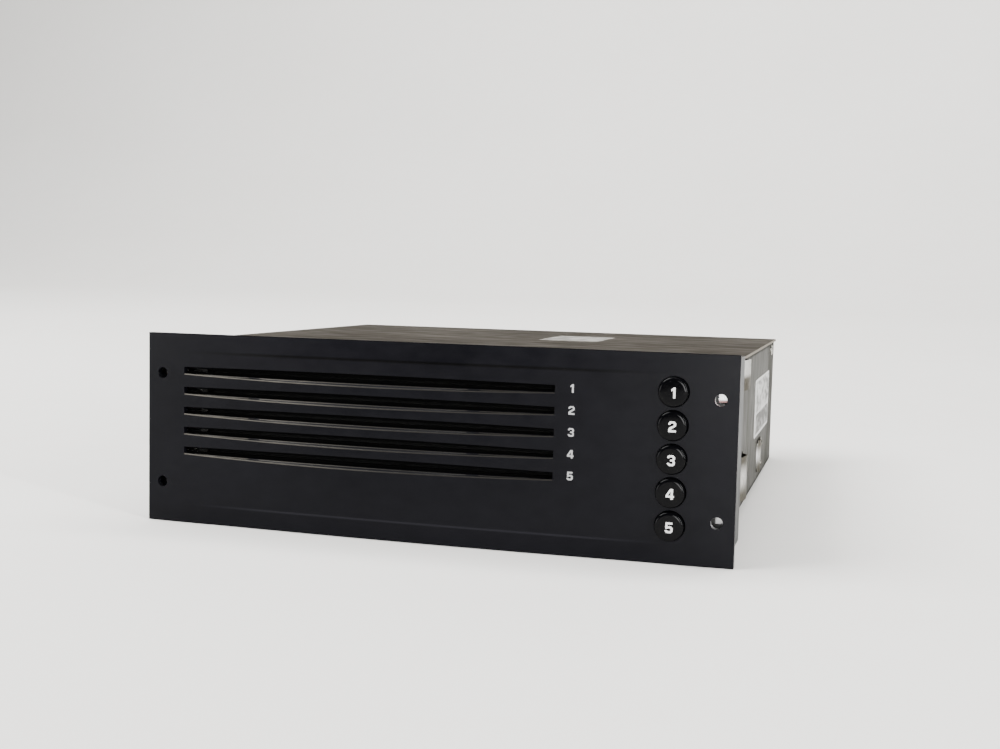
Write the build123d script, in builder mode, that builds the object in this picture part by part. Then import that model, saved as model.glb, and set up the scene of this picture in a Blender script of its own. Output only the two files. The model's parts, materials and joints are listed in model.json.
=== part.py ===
"""In-dash disc changer with five slots: a bowed faceplate, a sheet steel case and the works inside.

Frame: X to the viewer's right, Y into the dashboard, Z up. The origin is under the middle of the
unit, at the height of the faceplate's lower edge. All sizes are in millimetres.
"""
import os
from math import atan2, degrees, hypot, sqrt

from build123d import *

# Faceplate
face_width = 188.0
face_height = 60.7
face_bow = 2.5
face_skin = 2.0
face_rim = 1.5
rim_depth = 2.0
top_bevel = (5.4, 0.35)
bottom_bevel = (6.0, 0.42)
boss_radius = 2.5
tool_hole_radius = 1.75
tool_hole_inset = 5.15
tool_hole_spacing_z = 35.1
tool_hole_clear = 0.8
front_boss_z = (13.0, 54.2)

# Disc slots
levels = 5
slot_pitch = 6.4
slot_side_gap = 1.0
slot_end_height = 2.1
slot_mid_height = 2.9
slot_x = -19.9
top_slot_above_middle = 18.72
lip_height = 0.7
lip_depth = 0.6
felt_thick = 0.8
felt_reach = 2.4
felt_gap = 1.0

# Buttons and key board
button_inset = 18.4
button_pitch = 9.64
top_button_above_middle = 19.39
button_radius = 4.3
button_proud = 2.0
button_gap = 0.2
button_round = 0.8
button_travel = 1.2
wing_half_width = 6.0
wing_half_height = 3.9
wing_thick = 1.0
wing_gap = 0.1
stem_radius = 2.2
dome_radius = 3.2
dome_wall = 0.8
mat_thick = 1.0
board_thick = 1.6
key_board_y = 8.0
key_board_left = 17.1
key_board_right = 9.4
key_screw_left = 14.6
key_screw_z = (17.0, 43.0)

# Case
sheet = 0.8
frame_depth = 15.0
frame_inset = 0.3
frame_bottom = 5.6
frame_top = 59.9
case_inset = 3.0
case_height = 49.4
case_rise = 8.5
case_back = 175.0
cover_fold = 6.4
cover_fold_start = 32.0
flange = 8.0
stud_radius = 2.5
stud_length = 9.0
stud_nut = 3.5

# Discs and shelves
disc_radius = 60.0
disc_thick = 1.2
disc_front = 26.0
shelf_thick = 1.0
shelf_front = 22.4
shelf_ledge = 3.5
shelf_margin = 2.4
guide_height = 1.4
guide_gap = 0.9
post_radius = 1.5
post_foot_radius = 2.5
post_offset = 5.0
post_edge = 2.6
running = 0.05
free_gap = 0.3

# Feed rollers
roller_y = 19.0
roller_radius = 2.2
shaft_radius = 1.0
pulley_radius = 2.4
pulley_width = 2.5
belt_thick = 0.5
idler_radius = 2.6
drive_pulley_radius = 4.0
plate_gap = 3.2
feed_motor_radius = 7.7
feed_motor_length = 21.6
feed_motor_yz = (32.0, 44.0)

# Shelf lift
shelf_lift = 4.0
cam_travel = 6.0
cam_thick = 1.0
lift_pin_radius = 1.0
lift_pin_insets = (37.6, 20.0)
cam_guide_offsets = (-4.0, 22.0)
cam_gap = 1.6
cam_guide_radius = 1.2
link_thick = 1.2
lift_screw_radius = 1.5
lift_screw_offset = 9.0
lift_motor_radius = 5.0
lift_motor_length = 24.0

# Play arm
pivot_disc_gap = 29.9
park_depth = 39.65
pivot_radius = 2.0
hub_radius = 7.5
arm_half_width = 14.0
arm_thick = 1.0
arm_wall_height = 5.4
spindle_motor_radius = 8.0
turntable_radius = 13.0
turntable_boss_radius = 7.4
sled_start = 25.0
sled_travel = 33.0
sled_half_width = 10.0
sled_length = 20.0
guide_rod_radius = 1.0
lead_screw_radius = 1.3
clamp_radius = 9.0
clamp_half_width = 4.0

# Rear
main_board_y = 164.0
board_edge_gap = 3.4
socket_x = -58.0
socket_z = 24.0
socket_size = (24.0, 12.0)
socket_wall = 1.2
socket_proud = 1.0
socket_depth = 8.0

half_width = face_width / 2
middle_z = face_height / 2
button_x = half_width - button_inset
slot_length = 2 * (disc_radius + slot_side_gap)
bow_radius = (half_width**2 + face_bow**2) / (2 * face_bow)


def bow_at(x):
    """How far the faceplate's front stands before the plane of its ends."""
    return sqrt(bow_radius**2 - x**2) - (bow_radius - face_bow)


front_reach = max(face_bow, bow_at(button_x) + button_proud)
back_reach = case_back + stud_length
face_y = front_reach - (front_reach + back_reach) / 2
slot_z = [middle_z + top_slot_above_middle - slot_pitch * k for k in range(levels)]
button_z = [middle_z + top_button_above_middle - button_pitch * k for k in range(levels)]
frame_y = (face_y + rim_depth, face_y + frame_depth)
case_y = (face_y + frame_depth, face_y + case_back)
case_z = (case_rise, case_rise + case_height)
case_half = half_width - case_inset
wall_x = case_half - sheet
inner_x = wall_x - sheet
floor_z = case_z[0] + sheet
ceiling_z = case_z[1] - sheet
panel_y = case_y[1] - sheet


def block(x, y, z, mode=Mode.ADD):
    """A box between two values on each axis."""
    with Locations(((x[0] + x[1]) / 2, (y[0] + y[1]) / 2, (z[0] + z[1]) / 2)):
        Box(x[1] - x[0], y[1] - y[0], z[1] - z[0], mode=mode)


def rod(radius, axis, low, high, across, mode=Mode.ADD):
    """A cylinder along an axis from low to high, centred on its two other coordinates."""
    middle = (low + high) / 2
    first, second = across
    places = {"X": (middle, first, second), "Y": (first, middle, second), "Z": (first, second, middle)}
    turns = {"X": (0, 90, 0), "Y": (90, 0, 0), "Z": (0, 0, 0)}
    with Locations(places[axis]):
        Cylinder(radius, high - low, rotation=turns[axis], mode=mode)


def screw(radius, head_radius, head_height, tip, seat, side, across, axis="Y"):
    """A screw whose head lies beyond its seat, on the given side (1 or -1) of it."""
    rod(radius, axis, min(tip, seat), max(tip, seat), across)
    head_end = seat + side * head_height
    rod(head_radius, axis, min(seat, head_end), max(seat, head_end), across)


def around(value, half):
    """The two ends of a stretch that is centred on a value."""
    return (value - half, value + half)


def bowed_band(depth_front, depth_back, half):
    """A plan outline between two depths behind the bowed front, for use inside a sketch."""
    def row(depth, x):
        return (x, face_y + depth - bow_at(x))
    with BuildLine() as outline:
        ThreePointArc(row(depth_front, -half), row(depth_front, 0), row(depth_front, half))
        Line(row(depth_front, half), row(depth_back, half))
        ThreePointArc(row(depth_back, half), row(depth_back, 0), row(depth_back, -half))
        Line(row(depth_back, -half), row(depth_front, -half))
    make_face(outline.edges())


def slot_outline(z, lower):
    """A disc slot's outline, taller in its middle than at its ends, and lowered at its lower edge."""
    left, right = around(slot_x, slot_length / 2)
    end, mid = slot_end_height / 2, slot_mid_height / 2
    with BuildLine() as outline:
        Line((left, z - end - lower), (left, z + end))
        ThreePointArc((left, z + end), (slot_x, z + mid), (right, z + end))
        Line((right, z + end), (right, z - end - lower))
        ThreePointArc((right, z - end - lower), (slot_x, z - mid - lower), (left, z - end - lower))
    make_face(outline.edges())


def save(sub_part, name):
    """Label a finished sub-part and write it."""
    sub_part.part.label = name
    export_step(sub_part.part, f"parts/{name}.step")


os.makedirs("parts", exist_ok=True)

tool_holes = [
    (side * (half_width - tool_hole_inset), middle_z + level * tool_hole_spacing_z / 2)
    for side in (-1, 1)
    for level in (-1, 1)
]
front_boss_x = (slot_x - disc_radius + 10, button_x - 20)
front_boss_places = [(x, z) for x in front_boss_x for z in front_boss_z]
frame_screw_places = [(side * (inner_x - 2.9), z) for side in (-1, 1) for z in (22.0, 38.0)]
key_screw_x = button_x - key_screw_left
disc_y = disc_front + disc_radius
shelf_back = disc_y + disc_radius + shelf_margin + 2 * post_radius + 0.6
post_x = around(slot_x, disc_radius + post_offset)
post_places = [(x, face_y + y) for x in post_x for y in (shelf_front + post_edge, shelf_back - 2)]
front_screw_radius = 1.25
small_screw_radius = 1.0

# Faceplate: a bowed skin with a rim round its back, and bosses that reach the front frame

with BuildPart() as slot_lips:
    with BuildSketch(Plane.XZ):
        for z in slot_z:
            slot_outline(z, lip_height)
    extrude(amount=case_back, both=True)
    with BuildSketch(Plane.XY):
        bowed_band(-1.0, lip_depth, half_width)
    extrude(amount=face_height, mode=Mode.INTERSECT)

with BuildPart() as faceplate:
    with BuildSketch(Plane.XY):
        with BuildLine():
            ThreePointArc((-half_width, face_y), (0, face_y - face_bow), (half_width, face_y))
            Line((half_width, face_y), (half_width, frame_y[0]))
            Line((half_width, frame_y[0]), (-half_width, frame_y[0]))
            Line((-half_width, frame_y[0]), (-half_width, face_y))
        make_face()
    extrude(amount=face_height)
    bowed_edges = faceplate.edges().filter_by(GeomType.CIRCLE)
    front_face = faceplate.faces().sort_by(Axis.Y)[0]
    chamfer(bowed_edges.sort_by(Axis.Z)[-1], top_bevel[0], top_bevel[1], reference=front_face)
    front_face = faceplate.faces().sort_by(Axis.Y)[0]
    lower_edge = faceplate.edges().filter_by(GeomType.CIRCLE).sort_by(Axis.Z)[0]
    chamfer(lower_edge, bottom_bevel[0], bottom_bevel[1], reference=front_face)
    with BuildSketch(Plane.XY.offset(face_rim)):
        bowed_band(face_skin, face_skin + frame_depth, half_width - face_rim)
    extrude(amount=face_height - 2 * face_rim, mode=Mode.SUBTRACT)
    for x, z in front_boss_places:
        rod(boss_radius, "Y", face_y - bow_at(x) + face_skin / 2, frame_y[1] - sheet, (x, z))
        rod(front_screw_radius, "Y", face_y + rim_depth, frame_y[1], (x, z), mode=Mode.SUBTRACT)
    for z in key_screw_z:
        key_boss_y = face_y - bow_at(key_screw_x) + face_skin / 2
        rod(boss_radius, "Y", key_boss_y, face_y + key_board_y, (key_screw_x, z))
        rod(small_screw_radius, "Y", face_y + rim_depth, frame_y[1], (key_screw_x, z), mode=Mode.SUBTRACT)
    add(slot_lips.part, mode=Mode.SUBTRACT)
    with BuildSketch(Plane.XZ):
        for z in slot_z:
            slot_outline(z, 0.0)
        with Locations([(button_x, z) for z in button_z]):
            Circle(button_radius + button_gap)
        with Locations(tool_holes):
            Circle(tool_hole_radius)
    extrude(amount=case_back, both=True, mode=Mode.SUBTRACT)
save(faceplate, "faceplate")

with BuildPart() as slot_felts:
    for z in slot_z:
        for low, high in ((-felt_reach, -felt_gap / 2), (felt_gap / 2, felt_reach)):
            block(around(slot_x, slot_length / 2 + 1.2), (-case_back, case_back), (z + low, z + high))
    with BuildSketch(Plane.XY):
        bowed_band(face_skin + running, face_skin + running + felt_thick, half_width)
    extrude(amount=face_height, mode=Mode.INTERSECT)
save(slot_felts, "slot_felts")

# Buttons, their rubber mat and their board

wing_y = face_y - bow_at(button_x + wing_half_width) + face_skin + wing_gap
dome_y = face_y + key_board_y - mat_thick - dome_wall - button_travel
button_front = face_y - bow_at(button_x) - button_proud
for number, z in enumerate(button_z, start=1):
    with BuildPart() as button:
        rod(button_radius, "Y", button_front, wing_y, (button_x, z))
        rim = button.edges().filter_by(GeomType.CIRCLE).sort_by(Axis.Y)[0]
        fillet(rim, button_round)
        wings_z = around(z, wing_half_height)
        block(around(button_x, wing_half_width), (wing_y, wing_y + wing_thick), wings_z)
        rod(stem_radius, "Y", wing_y + wing_thick, dome_y - running, (button_x, z))
    save(button, f"button_{number}")

mat_z = (button_z[-1] - dome_radius - 0.5, button_z[0] + dome_radius + 0.5)
mat_y = face_y + key_board_y - mat_thick
with BuildPart() as key_mat:
    block(around(button_x, wing_half_width + 1), (mat_y, mat_y + mat_thick), mat_z)
    for z in button_z:
        rod(dome_radius, "Y", dome_y, mat_y, (button_x, z))
        rod(dome_radius - dome_wall, "Y", dome_y + dome_wall, mat_y + 1, (button_x, z), mode=Mode.SUBTRACT)
save(key_mat, "key_mat")

key_board_front = face_y + key_board_y
with BuildPart() as key_board:
    key_board_z = (frame_bottom + sheet + 0.2, button_z[0] + 5.3)
    board_x = (button_x - key_board_left, button_x + key_board_right)
    block(board_x, (key_board_front, key_board_front + board_thick), key_board_z)
    for z in key_screw_z:
        rod(small_screw_radius, "Y", key_board_front - 1, key_board_front + 3, (key_screw_x, z),
            mode=Mode.SUBTRACT)
save(key_board, "key_board")

with BuildPart() as front_screws:
    for place in front_boss_places:
        screw(front_screw_radius, 2.4, 1.6, frame_y[0] + 4, frame_y[1], 1, place)
    for z in key_screw_z:
        seat = key_board_front + board_thick
        screw(small_screw_radius, 2.0, 1.4, frame_y[0] + 1, seat, 1, (key_screw_x, z))
save(front_screws, "front_screws")

# Front frame: a shallow tray, open to the front, with windows for the discs and the cable

frame_x = half_width - frame_inset
with BuildPart() as front_frame:
    block((-frame_x, frame_x), frame_y, (frame_bottom, frame_top))
    block((sheet - frame_x, frame_x - sheet), (frame_y[0] - 1, frame_y[1] - sheet),
          (frame_bottom + sheet, frame_top - sheet), mode=Mode.SUBTRACT)
    disc_window_z = (slot_z[-1] - 4.5, slot_z[0] + 3.2)
    block(around(slot_x, slot_length / 2 + 2.4), (frame_y[0], frame_y[1] + 1), disc_window_z,
          mode=Mode.SUBTRACT)
    block(around(button_x - 4, 8.0), (frame_y[0], frame_y[1] + 1), around(middle_z, 8.0), mode=Mode.SUBTRACT)
    with BuildSketch(Plane.XZ):
        with Locations(tool_holes):
            Circle(tool_hole_radius + tool_hole_clear)
        with Locations(front_boss_places):
            Circle(front_screw_radius)
        with Locations(frame_screw_places):
            Circle(front_screw_radius)
    extrude(amount=case_back, both=True, mode=Mode.SUBTRACT)
    upright = front_frame.edges().filter_by(Axis.Z)
    at_side = [e for e in upright if abs(abs(e.center().X) - frame_x) < 0.01]
    corners = [e for e in at_side if e.center().Y > frame_y[1] - 0.1]
    fillet(corners, sheet)
save(front_frame, "front_frame")

# Chassis: floor and walls, flanges at both ends, and studs that guide the left cam

pin_z = slot_z[-2] - disc_thick / 2 + 2.0
shelf_x = (post_x[0] - shelf_margin, post_x[1] + shelf_margin)
cam_x = {
    "left": (free_gap - inner_x, free_gap - inner_x + cam_thick),
    "right": (shelf_x[1] + cam_gap, shelf_x[1] + cam_gap + cam_thick),
}
lift_pin_y = [shelf_front + lift_pin_insets[0], shelf_back - lift_pin_insets[1]]
cam_guide_y = [disc_y + offset for offset in cam_guide_offsets]
pivot_x = slot_x + disc_radius + pivot_disc_gap
swing_reach = pivot_x - slot_x
pivot_y = (swing_reach**2 + disc_y**2 - park_depth**2) / (2 * (disc_y - park_depth))
cam_z = (pin_z - 2.3, pin_z + shelf_lift + 2.6)
guide_z = pin_z + shelf_lift / 2
chassis_y = (case_y[0], panel_y)
board_tab_x = inner_x - 10.4
roller_foot_y = around(face_y + roller_y, roller_y - frame_depth - sheet)
cover_screw_y = (face_y + 58.0, case_y[1] - 15.0)
cover_screw_z = case_z[1] - 3.8
with BuildPart() as chassis:
    block((-wall_x, wall_x), chassis_y, (case_z[0], ceiling_z))
    block((-inner_x, inner_x), (chassis_y[0] - 1, chassis_y[1] + 1), (floor_z, case_z[1]), mode=Mode.SUBTRACT)
    for side in (-1, 1):
        flange_x = tuple(sorted((side * (inner_x - flange), side * inner_x)))
        block(flange_x, (chassis_y[0], chassis_y[0] + sheet), (floor_z, ceiling_z))
        block(flange_x, (chassis_y[1] - sheet, chassis_y[1]), (floor_z, ceiling_z))
        tab_y = face_y + main_board_y + board_thick
        block(around(side * board_tab_x, 5.0), (tab_y, tab_y + sheet), (floor_z, floor_z + 10))
        tab_hole = (side * board_tab_x, floor_z + 6)
        rod(small_screw_radius, "Y", tab_y - 1, tab_y + 2, tab_hole, mode=Mode.SUBTRACT)
    with BuildSketch(Plane.XZ.offset(-chassis_y[0])):
        with Locations(tool_holes):
            Circle(tool_hole_radius + tool_hole_clear)
        with Locations(frame_screw_places):
            Circle(front_screw_radius)
    extrude(amount=2, both=True, mode=Mode.SUBTRACT)
    for y in cam_guide_y:
        rod(cam_guide_radius, "X", -inner_x - 0.2, cam_x["left"][1] + free_gap, (face_y + y, guide_z))
    for x, y in post_places:
        rod(post_radius, "Z", case_z[0] - 1, floor_z + 1, (x, y), mode=Mode.SUBTRACT)
    rod(pivot_radius, "Z", case_z[0] - 1, floor_z + 1, (pivot_x, face_y + pivot_y), mode=Mode.SUBTRACT)
    for y in cover_screw_y:
        rod(small_screw_radius, "X", -half_width, half_width, (y, cover_screw_z), mode=Mode.SUBTRACT)
save(chassis, "chassis")

# Cover, rear panel, labels and the case's screws

fold_inner_x = inner_x - sheet
with BuildPart() as top_cover:
    block((-case_half, case_half), case_y, (ceiling_z, case_z[1]))
    for side in (-1, 1):
        fold_x = tuple(sorted((side * fold_inner_x, side * inner_x)))
        block(fold_x, (face_y + cover_fold_start, panel_y - 2 * sheet), (case_z[1] - cover_fold, ceiling_z))
    long_edges = top_cover.edges().filter_by(Axis.Y)
    outer = [e for e in long_edges if abs(abs(e.center().X) - case_half) < 0.01 and e.center().Z > ceiling_z]
    fillet(outer, sheet / 2)
    for y in cover_screw_y:
        rod(small_screw_radius, "X", -half_width, half_width, (y, cover_screw_z), mode=Mode.SUBTRACT)
save(top_cover, "top_cover")

panel_screw_z = (case_z[0] + 9.5, case_z[1] - 9.9)
panel_screw_places = [(side * (inner_x - flange / 2), z) for side in (-1, 1) for z in panel_screw_z]
stud_z = (case_z[0] + case_z[1]) / 2
vent_places = [(18.0 + 7.0 * k, stud_z) for k in range(8)]
with BuildPart() as rear_panel:
    block((-wall_x, wall_x), (panel_y, case_y[1]), (case_z[0], ceiling_z))
    with BuildSketch(Plane.XZ.offset(-case_y[1])):
        with Locations(panel_screw_places):
            Circle(front_screw_radius)
        with Locations((0, stud_z)):
            Circle(stud_radius)
        with Locations(vent_places):
            SlotOverall(20.0, 2.4, rotation=90)
        with Locations((socket_x, socket_z)):
            Rectangle(socket_size[0] + free_gap, socket_size[1] + free_gap)
    extrude(amount=2, both=True, mode=Mode.SUBTRACT)
save(rear_panel, "rear_panel")

with BuildPart() as case_screws:
    for place in panel_screw_places:
        screw(front_screw_radius, 2.3, 1.2, panel_y, case_y[1], 1, place)
    for place in frame_screw_places:
        screw(front_screw_radius, 2.2, 1.4, frame_y[1] + sheet + 1, frame_y[1] - sheet, -1, place)
    for side in (-1, 1):
        for y in cover_screw_y:
            tip, seat = side * fold_inner_x, side * wall_x
            screw(small_screw_radius, 2.0, 0.8, tip, seat, side, (y, cover_screw_z), axis="X")
save(case_screws, "case_screws")

with BuildPart() as rear_stud:
    rod(stud_radius, "Y", panel_y, case_y[1] + stud_length, (0, stud_z))
    with BuildSketch(Plane.XZ.offset(-case_y[1])):
        with Locations((0, stud_z)):
            RegularPolygon(4.6, 6)
    extrude(amount=-stud_nut)
    tip = rear_stud.edges().filter_by(GeomType.CIRCLE).sort_by(Axis.Y)[-1]
    chamfer(tip, 0.5)
save(rear_stud, "rear_stud")

label_thick = 0.1
with BuildPart() as side_label:
    block((wall_x, wall_x + label_thick), (case_y[1] - 80, case_y[1] - 21), (25.5, 46.5))
save(side_label, "side_label")

with BuildPart() as top_label:
    block((10.0, 32.0), (case_y[1] - 78, case_y[1] - 42), (case_z[1], case_z[1] + label_thick))
save(top_label, "top_label")

# Spring catches: a bent leaf beside each tool hole, with a tongue behind the hole, and one further back

front_leaf_shape = ((0.25, 21.5), (0.25, 18.5), (2.2, 14.0), (0.5, 0.0))
rear_leaf_shape = ((0.25, 14.0), (0.25, 9.0), (0.9, 4.0), (0.3, 0.0))
tongue_shape = ((2.2, 14.0), (0.5, 0.0), (0.5, -26.6), (-2.6, -27.4))
catch_places = (
    (case_z[0] + 4.0, case_z[0] + 18.0, frame_depth + 18.0, front_leaf_shape),
    (case_z[1] - 10.4, ceiling_z - 0.2, frame_depth + 18.0, front_leaf_shape),
    (case_z[0] + 3.0, case_z[0] + 14.8, case_back - 65.0, rear_leaf_shape),
)
tongue_half_height = 1.2
tongue_z = [z for x, z in tool_holes if x > 0]


def add_strip(side, low, high, front, shape):
    """A bent strip of spring steel: each point lies some way out from the wall and back from the front."""
    with BuildSketch(Plane.XY.offset(low)) as strip:
        with BuildLine():
            Polyline(*[(side * (wall_x + out), face_y + front + back) for out, back in shape])
        trace(line_width=0.5)
    extrude(strip.sketch, amount=high - low)


for side, name in ((-1, "catches_left"), (1, "catches_right")):
    with BuildPart() as catches:
        for low, high, leaf_front, leaf_shape in catch_places:
            add_strip(side, low, high, leaf_front, leaf_shape)
        for z in tongue_z:
            add_strip(side, *around(z, tongue_half_height), catch_places[0][2], tongue_shape)
    save(catches, name)

# Shelves on their four posts: bosses on each shelf carry the next one above it

def plate_z(level):
    """The underside of a shelf, on which a disc's rim lies."""
    return slot_z[level] - disc_thick / 2 - running - shelf_thick


with BuildPart() as guide_posts:
    for place in post_places:
        rod(post_radius, "Z", case_z[0], ceiling_z - 0.5, place)
        rod(post_foot_radius, "Z", floor_z, plate_z(levels - 1), place)
save(guide_posts, "guide_posts")

for level in range(levels):
    low = plate_z(level)
    top = low + shelf_thick
    boss_height = slot_pitch - shelf_thick if level > 0 else 3.0
    with BuildPart() as shelf:
        block(shelf_x, (face_y + shelf_front, face_y + shelf_back), (low, top))
        rod(disc_radius - shelf_ledge, "Z", low, top, (slot_x, face_y + disc_y), mode=Mode.SUBTRACT)
        for side in (-1, 1):
            inside = slot_x + side * (disc_radius + guide_gap)
            wall = tuple(sorted((inside, inside + side * shelf_thick)))
            guide_y = (face_y + shelf_front + 10, face_y + shelf_back - 12)
            block(wall, guide_y, (top, top + guide_height))
        stop_y = face_y + disc_y + disc_radius + guide_gap
        block(around(slot_x, 30), (stop_y, stop_y + shelf_thick), (top, top + guide_height))
        for place in post_places:
            rod(shelf_margin, "Z", top, top + boss_height, place)
            rod(post_radius + running, "Z", low - 1, top + boss_height + 1, place, mode=Mode.SUBTRACT)
        if level == levels - 2:
            for y in lift_pin_y:
                for edge, outward in ((shelf_x[0], -1), (shelf_x[1], 1)):
                    ear = tuple(sorted((edge, edge - outward * 1.2)))
                    block(ear, around(face_y + y, 2.0), (low, pin_z + 1.4))
                    pin_end = cam_x["left"][0] + 0.1 if outward < 0 else cam_x["right"][1] - 0.1
                    ends = sorted((edge - outward, pin_end))
                    rod(lift_pin_radius, "X", ends[0], ends[1], (face_y + y, pin_z))
    save(shelf, f"shelf_{level + 1}")

# Feed rollers and their bearings

roller_z = [z - disc_thick / 2 - roller_radius for z in slot_z]
rubber_x = around(slot_x, disc_radius)
left_plate_x = (rubber_x[0] - plate_gap - sheet, rubber_x[0] - plate_gap)
right_plate_x = (rubber_x[1] + plate_gap, rubber_x[1] + plate_gap + sheet)
pulley_x = (shelf_x[1] + free_gap, shelf_x[1] + free_gap + pulley_width)
bracket_x = (pulley_x[1] + 0.6, pulley_x[1] + 0.6 + sheet)
axis_y = face_y + roller_y
for level in range(levels):
    place = (axis_y, roller_z[level])
    with BuildPart() as feed_roller:
        rod(shaft_radius, "X", left_plate_x[0] - 0.6, bracket_x[0] - free_gap, place)
        rod(roller_radius, "X", rubber_x[0], rubber_x[1], place)
        rod(pulley_radius, "X", pulley_x[0], pulley_x[1], place)
    save(feed_roller, f"feed_roller_{level + 1}")

foot_length = 7.0
for name, plate_x, foot_side in (
    ("roller_plate_left", left_plate_x, 1),
    ("roller_plate_right", right_plate_x, -1),
):
    with BuildPart() as roller_plate:
        block(plate_x, roller_foot_y, (floor_z, roller_z[0] + 3.4))
        edge = plate_x[1] if foot_side > 0 else plate_x[0]
        foot_x = tuple(sorted((edge, edge + foot_side * foot_length)))
        block(foot_x, roller_foot_y, (floor_z, floor_z + sheet))
        foot_middle = (edge + foot_side * foot_length / 2, axis_y)
        rod(small_screw_radius, "Z", floor_z - 1, floor_z + 2, foot_middle, mode=Mode.SUBTRACT)
        for z in roller_z:
            rod(shaft_radius + running, "X", plate_x[0] - 1, plate_x[1] + 1, (axis_y, z), mode=Mode.SUBTRACT)
    save(roller_plate, name)

# Belt drive: the belt's front run presses on all five pulleys, inside its loop

run_y = axis_y - pulley_radius - running
idler_y = run_y + running + idler_radius
idler_z = {"idler_top": ceiling_z - 4.2, "idler_bottom": floor_z + 4.2}
motor_y, motor_z = face_y + feed_motor_yz[0], feed_motor_yz[1]
wheels = [
    (idler_y, idler_z["idler_top"], idler_radius),
    (motor_y, motor_z, drive_pulley_radius),
    (idler_y, idler_z["idler_bottom"], idler_radius),
]
with BuildPart() as feed_belt:
    belt_plane = Plane.YZ.offset(pulley_x[0] + 0.1)
    with BuildSketch(belt_plane):
        for y, z, radius in wheels:
            with Locations((y, z)):
                Circle(radius + running + belt_thick)
        make_hull()
    extrude(amount=pulley_width - 0.2)
    with BuildSketch(belt_plane):
        for y, z, radius in wheels:
            with Locations((y, z)):
                Circle(radius + running)
        make_hull()
    extrude(amount=pulley_width - 0.2, mode=Mode.SUBTRACT)
save(feed_belt, "feed_belt")

with BuildPart() as drive_bracket:
    block(bracket_x, roller_foot_y, (floor_z, ceiling_z - 0.5))
    block(bracket_x, (roller_foot_y[1] - 1, motor_y + 9), around(motor_z, 8.5))
    foot_x = (bracket_x[1], bracket_x[1] + foot_length)
    block(foot_x, roller_foot_y, (floor_z, floor_z + sheet))
    foot_middle = (bracket_x[1] + foot_length / 2, axis_y)
    rod(small_screw_radius, "Z", floor_z - 1, floor_z + 2, foot_middle, mode=Mode.SUBTRACT)
    rod(shaft_radius + running, "X", bracket_x[0] - 1, bracket_x[1] + 1, (motor_y, motor_z),
        mode=Mode.SUBTRACT)
    for z in idler_z.values():
        rod(shaft_radius, "X", pulley_x[0] - 0.4, bracket_x[1], (idler_y, z))
save(drive_bracket, "drive_bracket")

for name, z in idler_z.items():
    with BuildPart() as idler:
        rod(idler_radius, "X", pulley_x[0], pulley_x[1], (idler_y, z))
        rod(shaft_radius + running, "X", pulley_x[0] - 1, pulley_x[1] + 1, (idler_y, z), mode=Mode.SUBTRACT)
    save(idler, name)

shaft_depth = 8.0
with BuildPart() as drive_pulley:
    rod(drive_pulley_radius, "X", pulley_x[0], pulley_x[1], (motor_y, motor_z))
    rod(shaft_radius, "X", pulley_x[1], bracket_x[1] + shaft_depth, (motor_y, motor_z))
save(drive_pulley, "drive_pulley")

with BuildPart() as feed_motor:
    rod(feed_motor_radius, "X", bracket_x[1], bracket_x[1] + feed_motor_length, (motor_y, motor_z))
    fillet(feed_motor.edges().filter_by(GeomType.CIRCLE), 0.8)
    rod(shaft_radius + running, "X", bracket_x[1] - 1, bracket_x[1] + shaft_depth + 0.2, (motor_y, motor_z),
        mode=Mode.SUBTRACT)
save(feed_motor, "feed_motor")

# Shelf lift: two cam plates joined by a link slide back, and their slots raise shelf 4's pins

link_y = (face_y + shelf_back + 1, face_y + shelf_back + 1 + link_thick)
cam_slope = degrees(atan2(shelf_lift, -cam_travel))
for name, plate_x in (("lift_cam_left", cam_x["left"]), ("lift_cam_right", cam_x["right"])):
    with BuildPart() as lift_cam:
        block(plate_x, (face_y + lift_pin_y[0] - 14, link_y[1]), cam_z)
        with BuildSketch(Plane.YZ.offset(plate_x[0] - 1)):
            with Locations([(face_y + y - cam_travel / 2, pin_z + shelf_lift / 2) for y in lift_pin_y]):
                SlotCenterToCenter(hypot(cam_travel, shelf_lift), 2 * (lift_pin_radius + running),
                                   rotation=cam_slope)
            with Locations([(face_y + y - cam_travel / 2, guide_z) for y in cam_guide_y]):
                SlotCenterToCenter(cam_travel, 2 * (cam_guide_radius + running))
        extrude(amount=cam_thick + 2, mode=Mode.SUBTRACT)
    save(lift_cam, name)

nut_half = 3.5
screw_z = cam_z[1] + nut_half + 0.5
hanger_x = (cam_x["right"][1] + free_gap, cam_x["right"][1] + free_gap + sheet)
lift_screw_x = hanger_x[1] + lift_screw_offset
lift_screw_across = (lift_screw_x, screw_z)
with BuildPart() as cam_link:
    block((cam_x["left"][1], cam_x["right"][0]), link_y, cam_z)
    block((cam_x["right"][0] - 1, lift_screw_x + nut_half), link_y, (cam_z[1], cam_z[1] + 2 * nut_half + 1))
    block((cam_x["right"][0] - 12, cam_x["right"][0]), link_y, (cam_z[1] - 1, cam_z[1] + 2 * nut_half + 1))
    block(around(lift_screw_x, nut_half), (link_y[0], link_y[0] + 3), around(screw_z, nut_half))
    rod(lift_screw_radius + running, "Y", link_y[0] - 1, link_y[0] + 4, lift_screw_across, mode=Mode.SUBTRACT)
save(cam_link, "cam_link")

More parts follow.
